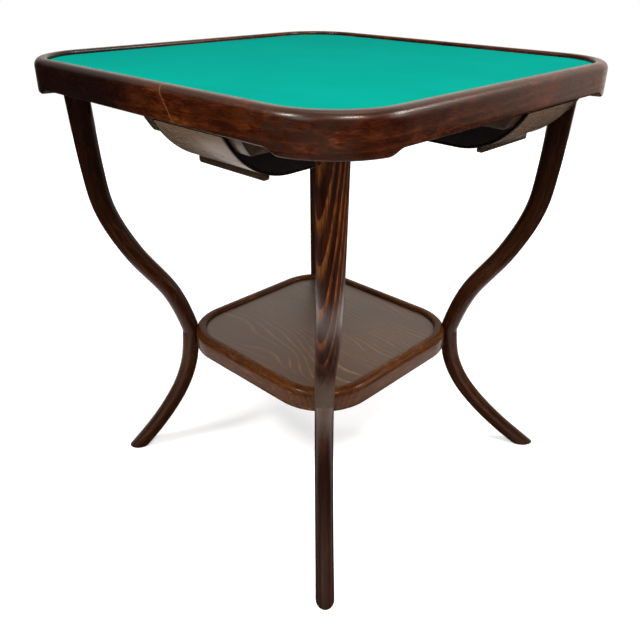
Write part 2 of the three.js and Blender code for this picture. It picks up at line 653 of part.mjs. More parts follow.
const cardTable = new THREE.Group();
cardTable.add(topAssembly(), shelfAssembly());
cardTable.add(cornerAssembly('front_right', -Math.PI / 4, FRONT_RIGHT_SPREAD));
cardTable.add(cornerAssembly('back_right', Math.PI / 4, BACK_RIGHT_SPREAD));
cardTable.add(cornerAssembly('back_left', Math.PI * 3 / 4, BACK_LEFT_SPREAD));
cardTable.add(cornerAssembly('front_left', -Math.PI * 3 / 4, FRONT_LEFT_SPREAD));
['front', 'right', 'back', 'left'].forEach((name, turn) => {
  cardTable.add(drawerAssembly(name, turn * Math.PI / 2));
});

export default cardTable;
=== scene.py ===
"""A bentwood card table: green cloth in a bent rim, four legs round a low shelf, a drawer under each side."""

from __future__ import annotations

import logging
import math
from dataclasses import dataclass, field, replace
from enum import Enum
from typing import Sequence

import bmesh
import bpy
from mathutils import Matrix, Vector, noise


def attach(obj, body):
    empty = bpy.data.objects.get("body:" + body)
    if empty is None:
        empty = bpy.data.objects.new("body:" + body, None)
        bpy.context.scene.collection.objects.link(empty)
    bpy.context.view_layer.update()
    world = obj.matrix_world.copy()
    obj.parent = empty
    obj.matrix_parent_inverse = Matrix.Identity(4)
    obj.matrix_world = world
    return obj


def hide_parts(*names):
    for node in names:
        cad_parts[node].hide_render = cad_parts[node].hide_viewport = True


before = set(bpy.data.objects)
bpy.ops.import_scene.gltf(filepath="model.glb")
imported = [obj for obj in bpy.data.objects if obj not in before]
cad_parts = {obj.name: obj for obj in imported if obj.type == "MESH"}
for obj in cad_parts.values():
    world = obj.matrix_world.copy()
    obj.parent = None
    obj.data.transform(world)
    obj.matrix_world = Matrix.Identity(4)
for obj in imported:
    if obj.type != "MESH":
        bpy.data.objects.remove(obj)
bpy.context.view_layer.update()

LOG = logging.getLogger("card_table")
Pair = tuple[float, float]
Triple = tuple[float, float, float]
Colour = Triple
Socket = bpy.types.NodeSocket
TABLE_BODY = "table"
GRAIN = "grain"
SAME_PLACE = 2e-6
FLAT_ANGLE = math.radians(0.4)
EDGE_ANGLE = math.radians(28)
SAWN_CREASE = 32.0
BENT_CREASE = 38.0


class Side(Enum):
    """The side that a drawer opens on, and its quarter turns from the front."""

    FRONT = 0
    RIGHT = 1
    BACK = 2
    LEFT = 3

    @property
    def word(self) -> str:
        """The side's word in the names of the nodes."""
        return self.name.lower()

    @property
    def turn(self) -> Matrix:
        """The turn about the table's axis from the front to this side."""
        return Matrix.Rotation(self.value * math.pi / 2, 4, "Z")


class Corner(Enum):
    """A corner of the table, by the angle of its diagonal in degrees."""

    FRONT_RIGHT = -45
    BACK_RIGHT = 45
    BACK_LEFT = 135
    FRONT_LEFT = -135

    @property
    def word(self) -> str:
        """The corner's word in the names of the nodes."""
        return self.name.lower()

    @property
    def turn(self) -> Matrix:
        """The turn about the table's axis from the +X direction to this corner."""
        return Matrix.Rotation(math.radians(self.value), 4, "Z")


class Figure(Enum):
    """How the wood was cut, which sets the lines on it."""

    CATHEDRAL = "arches and close straight lines of a sawn rod"
    BENT = "long streaks and mottling of a bent strip"
    ROTARY = "wide wavy contours of a peeled sheet"
    PLAIN = "faint streaks of unstained wood"


@dataclass(frozen=True)
class Cloud:
    """A noise pattern: how fine it is on each axis, its shift, its finer layers and how strong these are."""

    scale: Triple
    shift: Triple = (0.0, 0.0, 0.0)
    detail: float = 3.0
    roughness: float = 0.5


FIBRE = Cloud((60, 620, 620), detail=4.0, roughness=0.62)
STREAK = Cloud((7, 120, 120), (3.1, 0.4, 1.7), 4.0, 0.6)
MOTTLE = Cloud((34, 90, 90), (0.7, 5.3, 2.2), 6.0, 0.7)
PATCH = Cloud((9, 14, 14), (6.1, 1.1, 3.9), 2.0, 0.55)
PORES = Cloud((110, 1500, 1500), (1.3, 2.1, 0.2), 2.0)
HILLS = Cloud((2.3, 6.5, 6.5), detail=1.8, roughness=0.42)
LINE_FADE = Cloud((6, 30, 30), (4.0, 1.0, 0.0))
WARP = Cloud((7, 26, 26), (8.0, 2.0, 5.0), 2.0)
SPECKS = Cloud((150, 420, 420), (2.0, 9.0, 4.0), 3.0, 0.6)
SCUFFS = Cloud((50, 90, 60), (7.0, 1.0, 6.0), 3.0, 0.6)
SCARF_BOW = Cloud((0, 0, 30), detail=1.0)
CLOTH_FADE = Cloud((5, 7, 5), (1.0, 4.0, 0.0), 3.0, 0.55)
NAP = Cloud((900, 1400, 900), detail=4.0, roughness=0.7)
LINT = Cloud((260, 330, 200), (5.0, 1.0, 3.0), 3.0, 0.65)
TARNISH = Cloud((420, 420, 420), detail=4.0, roughness=0.6)
TURNING = Cloud((1800, 1800, 90), detail=2.0)


class Nodes:
    """A node tree that is being written."""

    def __init__(self, tree: bpy.types.NodeTree) -> None:
        """Empties the tree and starts on it."""
        self.tree = tree
        self.tree.nodes.clear()

    def node(
        self, kind: str, inputs: dict[str | int, object] | None = None, **settings: object
    ) -> bpy.types.Node:
        """Adds a node, with its settings and what its sockets take.

        Args:
            kind: the node's type.
            inputs: a value or another node's output for each socket, by name or number.
            settings: the node's own properties.

        Returns:
            The new node.
        """
        made = self.tree.nodes.new(kind)
        for key, value in settings.items():
            setattr(made, key, value)
        for key, value in (inputs or {}).items():
            if isinstance(value, Socket):
                self.tree.links.new(value, made.inputs[key])
            else:
                made.inputs[key].default_value = value
        return made

    def maths(self, operation: str, *terms: object, clamp: bool = False) -> Socket:
        """Adds one sum on numbers, which may be held from 0 to 1."""
        numbered = dict(enumerate(terms))
        return self.node("ShaderNodeMath", numbered, operation=operation, use_clamp=clamp).outputs[0]

    def times(self, first: object, second: object, clamp: bool = False) -> Socket:
        """Multiplies two numbers, and may hold the result from 0 to 1."""
        return self.maths("MULTIPLY", first, second, clamp=clamp)

    def most(self, first: object, second: object) -> Socket:
        """Takes the larger of two numbers."""
        return self.maths("MAXIMUM", first, second)

    def plus(self, value: object, factor: object, more: object) -> Socket:
        """Adds a number to another one times a factor."""
        return self.maths("MULTIPLY_ADD", value, factor, more)

    def span(
        self, value: object, low: float, high: float, to_low: float = 0.0, to_high: float = 1.0
    ) -> Socket:
        """Maps a range of a number to another, with soft ends.

        Args:
            value: the socket of the number.
            low: where the range starts.
            high: where it ends.
            to_low: what the start becomes.
            to_high: what the end becomes.

        Returns:
            The socket of the result.
        """
        inputs = {"Value": value, "From Min": low, "From Max": high, "To Min": to_low, "To Max": to_high}
        return self.node("ShaderNodeMapRange", inputs, interpolation_type="SMOOTHSTEP").outputs["Result"]

    def blend(self, share: object, first: object, second: object) -> Socket:
        """Mixes two colours, given or from sockets, by the share of the second."""
        inks = [ink if isinstance(ink, Socket) else (*ink, 1.0) for ink in (first, second)]
        return self.node("ShaderNodeMix", {0: share, 6: inks[0], 7: inks[1]}, data_type="RGBA").outputs[2]

    def place(self) -> Socket:
        """The place on the object's own coordinates."""
        return self.node("ShaderNodeTexCoord").outputs["Object"]

    def axis(self, place: object, number: int) -> Socket:
        """One of a place's three coordinates."""
        return self.node("ShaderNodeSeparateXYZ", {0: place}).outputs[number]

    def clouds(self, place: object, cloud: Cloud) -> Socket:
        """Draws a noise pattern.

        Args:
            place: the socket of the place.
            cloud: the pattern.

        Returns:
            The socket of its strength, from 0 to 1.
        """
        where = {"Vector": place, "Scale": cloud.scale, "Location": cloud.shift}
        scaled = self.node("ShaderNodeMapping", where).outputs["Vector"]
        layers = {"Vector": scaled, "Scale": 1.0, "Detail": cloud.detail, "Roughness": cloud.roughness}
        return self.node("ShaderNodeTexNoise", layers).outputs["Fac"]


class Recipe(Nodes):
    """A material and the node tree that is being written for it."""

    def __init__(self, name: str) -> None:
        """Starts an empty material.

        Args:
            name: the material's name.
        """
        self.material = bpy.data.materials.new(name)
        self.material.use_nodes = True
        super().__init__(self.material.node_tree)

    def surface(
        self, colour: Socket, roughness: Socket, relief: Socket, bump: Pair, gloss: dict[str, object]
    ) -> bpy.types.Material:
        """Ends the material in a shader with a fine relief.

        Args:
            colour: the socket of the colour.
            roughness: the socket of the roughness.
            relief: the socket of the relief.
            bump: the relief's strength, and its depth in metres.
            gloss: the shader's other values, by the names of their sockets.

        Returns:
            The finished material.
        """
        inputs = {"Height": relief, "Strength": bump[0], "Distance": bump[1]}
        normal = self.node("ShaderNodeBump", inputs).outputs["Normal"]
        inputs = {"Base Color": colour, "Roughness": roughness, "Normal": normal, **gloss}
        return self.close(self.node("ShaderNodeBsdfPrincipled", inputs))

    def close(self, shader: bpy.types.Node) -> bpy.types.Material:
        """Joins the last shader to the output and gives the finished material."""
        self.node("ShaderNodeOutputMaterial", {"Surface": shader.outputs[0]})
        return self.material


@dataclass(frozen=True)
class WoodFinish:
    """Stained and polished wood.

    Lengths are in metres and colours are linear. A mark round a ring is given by its middle, as the length
    along, and its reach. A scarf joint's place is where its leaning line would meet the floor. Besides stains
    and wear, some marks are painted shade or a painted sheen.
    """

    name: str
    slot: str
    figure: Figure
    dark: Colour
    middle: Colour
    line: Colour
    light: Colour = (0.0, 0.0, 0.0)
    bent: bool = True
    patch: float = 0.5
    contours: float = 92.0
    hill_contours: float = 26.0
    ring_gap: float = 0.0036
    ring_tilt: float = 4.5
    ring_centre: Triple = (0.0, 0.01, 0.01)
    ring_swing: float = 0.011
    ring_share: float = 0.6
    ring_foot: float = 1.0
    ring_foot_span: Pair = (0.35, 0.46)
    fibre_share: float = 0.72
    fibre_relief: float = 0.000015
    pore_share: float = 0.6
    roughness: float = 0.3
    shine: float = 0.3
    tint: Colour = (1.0, 0.88, 0.8)
    coat: float = 0.03
    coat_roughness: float = 0.14
    worn: float = 0.0
    # Colour of the pores, grime and stains, and of the painted shade marks below.
    stain: Colour = (0.005, 0.0012, 0.0007)
    # Painted shade on a stretch of a ring: its middle as the length along, and its reach.
    stain_at: Pair = (0.0, 0.0)
    stain_ragged: float = 0.16
    stain_edge: Pair = (0.14, 0.96)
    # How much darker a leg is drawn toward its top.
    top_darkening: float = 0.0
    top_span: Pair = (0.38, 0.6)
    # Painted shade on a leg's foot.
    foot_shade: float = 0.0
    foot_span: Pair = (0.14, 0.34)
    # Colour of rubbed wear round a ring, and of the painted sheen on a leg's waist.
    wear_and_sheen: Colour = (0.022, 0.011, 0.007)
    rubbed_at: Pair = (0.0, 0.0)
    wear_and_sheen_ragged: float = 0.09
    wear_and_sheen_edge: Pair = (0.05, 0.6)
    # A painted sheen on a leg's waist.
    waist_sheen: float = 0.0
    waist_sheen_ragged: float = 0.04
    waist_rise: Pair = (0.22, 0.3)
    waist_fall: Pair = (0.31, 0.37)
    scarf_at: float = 0.0
    scarf_lean: float = 0.69
    scarf_bow: float = 0.012
    scarf_width: Pair = (0.0003, 0.0011)
    scarf_colour: Colour = (0.17, 0.075, 0.03)
    # Painted shade along both edges of a sheet.
    edge_shade: float = 0.0
    edge_blur: float = 0.0004
    # A panel's half width and corner radius, for painted shade along the edge where it meets its rim.
    square: Pair = (0.0, 0.0)
    rim_shade_span: Pair = (0.007, 0.001)
    rim_shade_share: float = 0.7

    def material(self) -> bpy.types.Material:
        """Writes the material once.

        Returns:
            The material, the same one for each call.
        """
        known = bpy.data.materials.get(self.name)
        if known:
            return known
        recipe = Recipe(self.name)
        if self.bent:
            place = recipe.node("ShaderNodeAttribute", attribute_name=GRAIN).outputs["Vector"]
        else:
            place = recipe.place()
        fibre, streak, mottle, patch = (recipe.clouds(place, c) for c in (FIBRE, STREAK, MOTTLE, PATCH))
        colour = self._ground(recipe, streak, mottle, patch)
        colour = recipe.blend(self._lines(recipe, place, streak), colour, self.line)
        shaded = recipe.blend(recipe.span(fibre, 0.34, 0.66), self.dark, colour)
        colour = recipe.blend(self.fibre_share, colour, shaded)
        pore = recipe.times(recipe.span(recipe.clouds(place, PORES), 0.58, 0.7), self.pore_share)
        colour = recipe.blend(pore, colour, self.stain)
        colour = self._marks(recipe, place, colour, mottle)
        rough = recipe.span(streak, 0.2, 0.8, self.roughness - 0.05, self.roughness + 0.07)
        if self.worn:
            rough = recipe.maths("ADD", rough, recipe.span(mottle, 0.45, 0.75, 0.0, 0.22 * self.worn))
        gloss = {
            "IOR": 1.5,
            "Specular IOR Level": self.shine,
            "Specular Tint": (*self.tint, 1.0),
            "Coat Weight": self.coat,
            "Coat Roughness": self.coat_roughness,
        }
        relief = recipe.maths("SUBTRACT", fibre, pore)
        return recipe.surface(colour, rough, relief, (0.6, self.fibre_relief), gloss)

    def _ground(self, recipe: Recipe, streak: Socket, mottle: Socket, patch: Socket) -> Socket:
        """Mixes the tones of the ground, from broad patches down to mottling.

        Args:
            recipe: the tree.
            streak: the socket of the long streaks.
            mottle: the socket of the shorter mottling.
            patch: the socket of the broad patches.

        Returns:
            The socket of the colour.
        """
        grain = recipe.span(streak, 0.28, 0.72)
        if self.figure is not Figure.BENT:
            return recipe.blend(grain, self.dark, self.middle)
        broad = recipe.span(patch, 0.36, 0.64, 1.0 - self.patch, 1.0)
        share = recipe.times(recipe.plus(grain, 0.45, 0.4), recipe.span(mottle, 0.3, 0.66))
        share = recipe.times(recipe.plus(share, 1.15, 0.12), broad, clamp=True)
        colour = recipe.blend(share, self.dark, self.middle)
        glow = recipe.times(recipe.span(mottle, 0.5, 0.74), recipe.span(patch, 0.46, 0.66))
        return recipe.blend(recipe.times(glow, grain), colour, self.light)

    def _lines(self, recipe: Recipe, place: Socket, streak: Socket) -> Socket:
        """Draws the growth lines, as strong as they show.

        Args:
            recipe: the tree.
            place: the socket of the place.
            streak: the socket of the long streaks.

        Returns:
            The socket of their strength, from 0 to 1.
        """
        if self.figure is Figure.ROTARY:
            hills = recipe.clouds(place, replace(HILLS, shift=self.ring_centre))
            hills = recipe.times(hills, self.hill_contours)
            level = recipe.plus(recipe.axis(place, 1), self.contours, hills)
            line = recipe.span(recipe.maths("FRACT", level), 0.72, 0.97)
            faint = recipe.span(recipe.clouds(place, LINE_FADE), 0.36, 0.66)
            return recipe.times(recipe.times(line, faint), self.ring_share, clamp=True)
        tilt = math.radians(self.ring_tilt)
        inputs = {"Vector": place, "Location": self.ring_centre, "Rotation": (0.0, tilt, tilt / 3)}
        moved = recipe.node("ShaderNodeMapping", inputs).outputs["Vector"]
        swing = recipe.times(recipe.maths("SUBTRACT", recipe.clouds(place, WARP), 0.5), self.ring_swing)
        shift = recipe.node("ShaderNodeCombineXYZ", {"Y": swing, "Z": swing}).outputs[0]
        bent = recipe.node("ShaderNodeVectorMath", {0: moved, 1: shift}, operation="ADD").outputs[0]
        ring = recipe.node(
            "ShaderNodeTexWave",
            {"Vector": bent, "Scale": 2 * math.pi / (20 * self.ring_gap), "Distortion": 0.0},
            wave_type="RINGS",
            rings_direction="X",
            wave_profile="SAW",
        ).outputs["Fac"]
        faint = recipe.span(streak, 0.2, 0.62, 0.25, 1.0)
        if self.ring_foot != 1.0:
            height = recipe.axis(recipe.place(), 2)
            faint = recipe.times(faint, recipe.span(height, *self.ring_foot_span, self.ring_foot, 1.0))
        return recipe.times(recipe.times(recipe.span(ring, 0.5, 0.93), faint), self.ring_share, clamp=True)

    def _marks(self, recipe: Recipe, place: Socket, colour: Socket, mottle: Socket) -> Socket:
        """Lays stains, wear or a scarf joint over the wood, and paints shade and a sheen into its colour
        where asked.

        Args:
            recipe: the tree.
            place: the socket of the place.
            colour: the socket of the wood's colour.
            mottle: the socket of the mottling.

        Returns:
            The socket of the marked colour.
        """
        along = recipe.axis(place, 0)
        if self.worn:
            specks = recipe.span(recipe.clouds(place, SPECKS), 0.5, 0.68)
            grime = recipe.times(specks, recipe.span(mottle, 0.42, 0.7))
            colour = recipe.blend(recipe.times(grime, self.worn), colour, self.stain)
        # Painted shade over a stretch of the ring.
        if self.stain_at != (0.0, 0.0):
            drift = recipe.times(mottle, self.stain_ragged)
            share = self._near(recipe, self.stain_at, along, drift, self.stain_edge)
            colour = recipe.blend(share, colour, self.stain)
        # A leg darker toward its top, painted shade on its foot and a painted sheen on its waist.
        if self.top_darkening or self.foot_shade:
            colour = self._dark_ends_and_sheen(recipe, colour, mottle)
        if self.rubbed_at != (0.0, 0.0):
            drift = recipe.times(mottle, self.wear_and_sheen_ragged)
            near = self._near(recipe, self.rubbed_at, along, drift, self.wear_and_sheen_edge)
            share = recipe.times(near, recipe.span(recipe.clouds(place, SCUFFS), 0.36, 0.6))
            colour = recipe.blend(share, colour, self.wear_and_sheen)
        if self.scarf_at:
            lean = recipe.plus(recipe.axis(place, 2), self.scarf_lean, along)
            line = recipe.plus(recipe.clouds(place, SCARF_BOW), self.scarf_bow, lean)
            away = recipe.maths("ABSOLUTE", recipe.maths("SUBTRACT", line, self.scarf_at))
            colour = recipe.blend(recipe.span(away, *self.scarf_width, 0.8, 0.0), colour, self.scarf_colour)
        # Painted shade along both edges of a sheet.
        if self.edge_shade:
            across = recipe.maths("ABSOLUTE", along)
            band = recipe.span(across, self.edge_shade - self.edge_blur, self.edge_shade + self.edge_blur)
            colour = recipe.blend(band, colour, self.stain)
        # Painted shade on a panel, near where it meets its rim.
        if self.square != (0.0, 0.0):
            colour = recipe.blend(self._rim_shade(recipe, place), colour, self.stain)
        return colour

    @staticmethod
    def _near(recipe: Recipe, where: Pair, along: Socket, drift: Socket, edge: Pair) -> Socket:
        """Finds how strong a mark with a ragged edge is.

        Args:
            recipe: the tree.
            where: the mark's middle and reach.
            along: the socket of the length along.
            drift: the socket of the raggedness.
            edge: the width of the soft edge, and the mark's strength inside it.

        Returns:
            The socket of the strength.
        """
        middle, reach = where
        away = recipe.maths("ABSOLUTE", recipe.maths("SUBTRACT", along, middle))
        return recipe.span(recipe.maths("ADD", drift, away), reach, reach + edge[0], edge[1], 0.0)

    def _dark_ends_and_sheen(self, recipe: Recipe, colour: Socket, mottle: Socket) -> Socket:
        """Darkens the top of a leg, paints shade on its foot and paints a lighter sheen on its waist.

        Args:
            recipe: the tree.
            colour: the socket of the wood's colour.
            mottle: the socket of the mottling.

        Returns:
            The socket of the marked colour.
        """
        height = recipe.axis(recipe.place(), 2)
        # Darker toward the top of the leg, and painted shade on its foot.
        high = recipe.span(height, *self.top_span, 0.0, self.top_darkening)
        low = recipe.span(height, *self.foot_span, self.foot_shade, 0.0)
        colour = recipe.blend(recipe.most(high, low), colour, self.stain)
        if not self.waist_sheen:
            return colour
        # Painted sheen on the waist, in a lighter, greyer colour.
        ragged = recipe.plus(mottle, self.waist_sheen_ragged, height)
        rise = recipe.span(ragged, *self.waist_rise, 0.0, self.waist_sheen)
        rubbed = recipe.times(rise, recipe.span(height, *self.waist_fall, 1.0, 0.0))
        return recipe.blend(rubbed, colour, self.wear_and_sheen)

    def _rim_shade(self, recipe: Recipe, place: Socket) -> Socket:
        """Finds how strong the painted shade is near the edge of a rounded square panel, where it meets its
        rim.

        Args:
            recipe: the tree.
            place: the socket of the place.

        Returns:
            The socket of the painted shade's strength.
        """
        half, radius = self.square
        squares = []
        for number in (0, 1):
            across = recipe.maths("ABSOLUTE", recipe.axis(place, number))
            over = recipe.most(recipe.maths("SUBTRACT", across, half - radius), 0.0)
            squares.append(recipe.times(over, over))
        away = recipe.maths("SQRT", recipe.maths("ADD", *squares))
        start, end = self.rim_shade_span
        return recipe.span(away, radius - start, radius - end, 0.0, self.rim_shade_share)


@dataclass(frozen=True)
class ClothFinish:
    """Short dyed wool cloth, glued down flat. Colours are linear."""

    name: str = "green_baize"
    slot: str = "green_cloth"
    dyed: Colour = (0.0, 0.228, 0.183)
    rubbed: Colour = (0.0, 0.262, 0.21)
    between_hairs: Colour = (0.0003, 0.17, 0.13)
    lint: Colour = (0.006, 0.39, 0.31)

    def material(self) -> bpy.types.Material:
        """Writes the cloth's material.

        Returns:
            The material.
        """
        recipe = Recipe(self.name)
        place = recipe.place()
        broad, nap, lint = (recipe.clouds(place, cloud) for cloud in (CLOTH_FADE, NAP, LINT))
        colour = recipe.blend(recipe.span(broad, 0.3, 0.75, 0.0, 0.7), self.dyed, self.rubbed)
        colour = recipe.blend(recipe.span(nap, 0.3, 0.75, 0.22, 0.0), colour, self.between_hairs)
        colour = recipe.blend(recipe.span(lint, 0.66, 0.8, 0.0, 0.25), colour, self.lint)
        gloss = {
            "Specular IOR Level": 0.01,
            "Sheen Weight": 0.01,
            "Sheen Roughness": 0.6,
            "Sheen Tint": (0.02, 0.85, 0.7, 1.0),
        }
        rough = recipe.span(nap, 0.2, 0.8, 0.86, 0.98)
        return recipe.surface(colour, rough, recipe.plus(lint, 0.6, nap), (0.5, 0.00025), gloss)


@dataclass(frozen=True)
class SteelFinish:
    """Dull turned steel of the wood screws."""

    name: str = "screw_steel"
    slot: str = "screw_steel"
    colour: Colour = (0.33, 0.31, 0.28)
    tarnish: Colour = (0.11, 0.08, 0.06)

    def material(self) -> bpy.types.Material:
        """Writes the steel's material.

        Returns:
            The material.
        """
        recipe = Recipe(self.name)
        place = recipe.place()
        spots, turned = recipe.clouds(place, TARNISH), recipe.clouds(place, TURNING)
        colour = recipe.blend(recipe.span(spots, 0.5, 0.75), self.colour, self.tarnish)
        rough = recipe.span(spots, 0.3, 0.8, 0.32, 0.6)
        return recipe.surface(colour, rough, turned, (0.3, 0.00003), {"Metallic": 1.0})


Finish = WoodFinish | ClothFinish | SteelFinish

RIM_WOOD = WoodFinish(
    name="bent_rim_polish",
    slot="rim_wood",
    figure=Figure.BENT,
    dark=(0.0085, 0.0013, 0.0003),
    middle=(0.08, 0.012, 0.0003),
    light=(0.23, 0.062, 0.003),
    line=(0.15, 0.034, 0.0015),
    patch=0.55,
    ring_gap=0.0046,
    ring_tilt=1.2,
    ring_centre=(0.0, 0.03, -0.72),
    ring_share=0.22,
    roughness=0.26,
    shine=0.23,
    coat=0.16,
    coat_roughness=0.24,
    worn=0.85,
    rubbed_at=(1.6, 0.085),
    scarf_at=1.903,
    # painted shade round the ring's front left corner
    stain_at=(1.02, 0.275),
)
FRONT_LEG_WOOD = WoodFinish(
    name="front_leg_polish",
    slot="leg_wood",
    figure=Figure.CATHEDRAL,
    dark=(0.008, 0.0012, 0.0003),
    middle=(0.042, 0.0062, 0.0005),
    line=(0.21, 0.06, 0.006),
    ring_gap=0.006,
    ring_tilt=5.0,
    ring_share=0.8,
    ring_foot=0.25,
    # painted sheen on the waist, in the colour below
    waist_sheen=0.65,
    wear_and_sheen=(0.085, 0.061, 0.044),
    shine=0.27,
    coat=0.04,
    # painted shade on the foot
    foot_shade=0.65,
)
LEG_WOOD = WoodFinish(
    name="leg_polish",
    slot="leg_wood",
    figure=Figure.CATHEDRAL,
    dark=(0.011, 0.0026, 0.0007),
    middle=(0.052, 0.0137, 0.0027),
    line=(0.092, 0.027, 0.0055),
    ring_gap=0.0034,
    ring_tilt=4.6,
    ring_share=0.3,
    shine=0.12,
    coat=0.05,
    # darker toward the top of each leg
    top_darkening=0.75,
)
SHELF_RIM_WOOD = WoodFinish(
    name="shelf_rim_polish",
    slot="leg_wood",
    figure=Figure.BENT,
    dark=(0.03, 0.008, 0.0015),
    middle=(0.125, 0.041, 0.008),
    light=(0.34, 0.14, 0.04),
    line=(0.16, 0.05, 0.012),
    ring_gap=0.004,
    ring_tilt=0.9,
    ring_centre=(0.0, 0.02, -0.26),
    ring_share=0.3,
    shine=0.06,
    coat=0.1,
    worn=0.45,
)
SHELF_PANEL_WOOD = WoodFinish(
    name="shelf_panel_polish",
    slot="shelf_wood",
    figure=Figure.ROTARY,
    dark=(0.03, 0.0125, 0.006),
    middle=(0.06, 0.0255, 0.0115),
    line=(0.31, 0.15, 0.065),
    bent=False,
    ring_centre=(0.3, 0.9, 0.4),
    ring_share=0.5,
    roughness=0.36,
    shine=0.52,
    coat=0.2,
    coat_roughness=0.3,
    # painted shade round the panel's edge, where it meets the rim
    square=(0.1757, 0.0777),
    tint=(1.0, 0.98, 0.97),
)
SHEET_WOOD = WoodFinish(
    name="drawer_sheet_polish",
    slot="sheet_wood",
    figure=Figure.BENT,
    dark=(0.1, 0.065, 0.04),
    middle=(0.16, 0.104, 0.066),
    light=(0.26, 0.17, 0.12),
    line=(0.09, 0.045, 0.022),
    patch=0.3,
    ring_gap=0.005,
    ring_tilt=1.0,
    ring_share=0.25,
    roughness=0.27,
    shine=0.2,
    # painted shade along the sheet's two edges
    edge_shade=0.0672,
)
RUNNER_WOOD = WoodFinish(
    name="runner_polish",
    slot="sheet_wood",
    figure=Figure.BENT,
    dark=(0.02, 0.011, 0.006),
    middle=(0.075, 0.043, 0.023),
    light=(0.12, 0.07, 0.04),
    line=(0.06, 0.028, 0.013),
    bent=False,
    ring_share=0.25,
    shine=0.25,
)
# Near-black wood of the drawers' ends and backs.
DARK_WOOD = WoodFinish(
    name="near_black_wood",
    slot="dark_wood",
    figure=Figure.BENT,
    dark=(0.003, 0.0023, 0.0022),
    middle=(0.0085, 0.0058, 0.005),
    light=(0.014, 0.01, 0.008),
    line=(0.014, 0.009, 0.007),
    bent=False,
    ring_share=0.3,
    roughness=0.4,
    shine=0.06,
    coat=0.0,
    stain=(0.002, 0.0016, 0.0015),
)
PLAIN_WOOD = WoodFinish(
    name="unstained_beech",
    slot="plain_wood",
    figure=Figure.PLAIN,
    dark=(0.19, 0.105, 0.05),
    middle=(0.31, 0.185, 0.095),
    line=(0.24, 0.13, 0.06),
    bent=False,
    ring_share=0.4,
    roughness=0.62,
    coat=0.0,
    fibre_relief=0.0001,
    stain=(0.09, 0.045, 0.02),
)
BAIZE = ClothFinish()
STEEL = SteelFinish()


def arc(centre: Pair, radius: float, start: float, end: float, steps: int) -> list[Pair]:
    """Points on an arc.

    Args:
        centre: its centre.
        radius: its radius.
        start: its first angle in degrees.
        end: its last angle in degrees.
        steps: how many parts it has.

    Returns:
        The points, both ends among them.
    """
    points = []
    for i in range(steps + 1):
        angle = math.radians(start + (end - start) * i / steps)
        points.append((centre[0] + radius * math.cos(angle), centre[1] + radius * math.sin(angle)))
    return points


def smooth(share: float) -> float:
    """A share from 0 to 1, eased at both ends."""
    return share * share * (3 - 2 * share)


def add_object(name: str, data: bpy.types.ID) -> bpy.types.Object:
    """Puts a new object in the scene.

    Args:
        name: its name.
        data: its mesh, lamp or camera.

    Returns:
        The object.
    """
    made = bpy.data.objects.new(name, data)
    bpy.context.scene.collection.objects.link(made)
    return made


@dataclass
class Station:
    """A place on a rounded square path, with its way out, its length along and its share of an ogee."""

    place: Vector
    outward: Vector
    along: float
    ogee: float


@dataclass(frozen=True)
class SquarePath:
    """The outer outline of a rounded square, walked counterclockwise from the middle of the back side."""

    half: float
    radius: float
    corner_steps: int = 36
    side_steps: int = 10
    ogee_length: float = 0.0

    @property
    def length(self) -> float:
        """The length all the way round."""
        return 8 * (self.half - self.radius) + 2 * math.pi * self.radius

    def stations(self) -> list[Station]:
        """Walks the path.

        Returns:
            Its stations, without one that closes it.
        """
        inner = self.half - self.radius
        ogee_angle = math.asin(self.ogee_length / self.radius)
        made = []
        along = 0.0
        for quarter in range(4):
            turn = Matrix.Rotation(math.pi / 2 * (quarter + 1), 2)
            for i in range(self.side_steps):
                step = inner * i / self.side_steps
                made.append(self._station(turn, Vector((self.half, step)), 0.0, along + step, 1.0))
            along += inner
            for i in range(self.corner_steps):
                angle = math.pi / 2 * i / self.corner_steps
                from_end = min(angle, math.pi / 2 - angle)
                ogee = smooth(max(0.0, 1 - from_end / ogee_angle)) if ogee_angle else 1.0
                place = Vector((inner, inner)) + Vector((math.cos(angle), math.sin(angle))) * self.radius
                made.append(self._station(turn, place, angle, along + angle * self.radius, ogee))
            along += math.pi / 2 * self.radius
            for i in range(self.side_steps):
                step = inner * i / self.side_steps
                place = Vector((inner - step, self.half))
                made.append(self._station(turn, place, math.pi / 2, along + step, 1.0))
            along += inner
        return made

    @staticmethod
    def _station(turn: Matrix, place: Vector, angle: float, along: float, ogee: float) -> Station:
        """Turns a station of the first quarter to its own quarter."""
        return Station(turn @ place, turn @ Vector((math.cos(angle), math.sin(angle))), along, ogee)

    def along_at(self, x: float, y: float) -> float:
        """The length along the path of the point of it that is nearest to a place.

        Args:
            x: the place's first coordinate.
            y: its second.

        Returns:
            The length, from 0 to the path's length.
        """
        inner = self.half - self.radius
        quarter_length = 2 * inner + math.pi / 2 * self.radius
        quarter = int(((math.degrees(math.atan2(y, x)) - 90) % 360) // 90)
        local = Matrix.Rotation(-math.pi / 2 * (quarter + 1), 2) @ Vector((x, y))
        over = Vector((local.x - inner, local.y - inner))
        if over.y <= 0 and local.x > local.y:
            return quarter * quarter_length + max(0.0, local.y)
        if over.x <= 0 and local.y >= local.x:
            return quarter * quarter_length + quarter_length - max(0.0, local.x)
        angle = math.atan2(max(0.0, over.y), max(1e-9, over.x))
        return quarter * quarter_length + inner + angle * self.radius


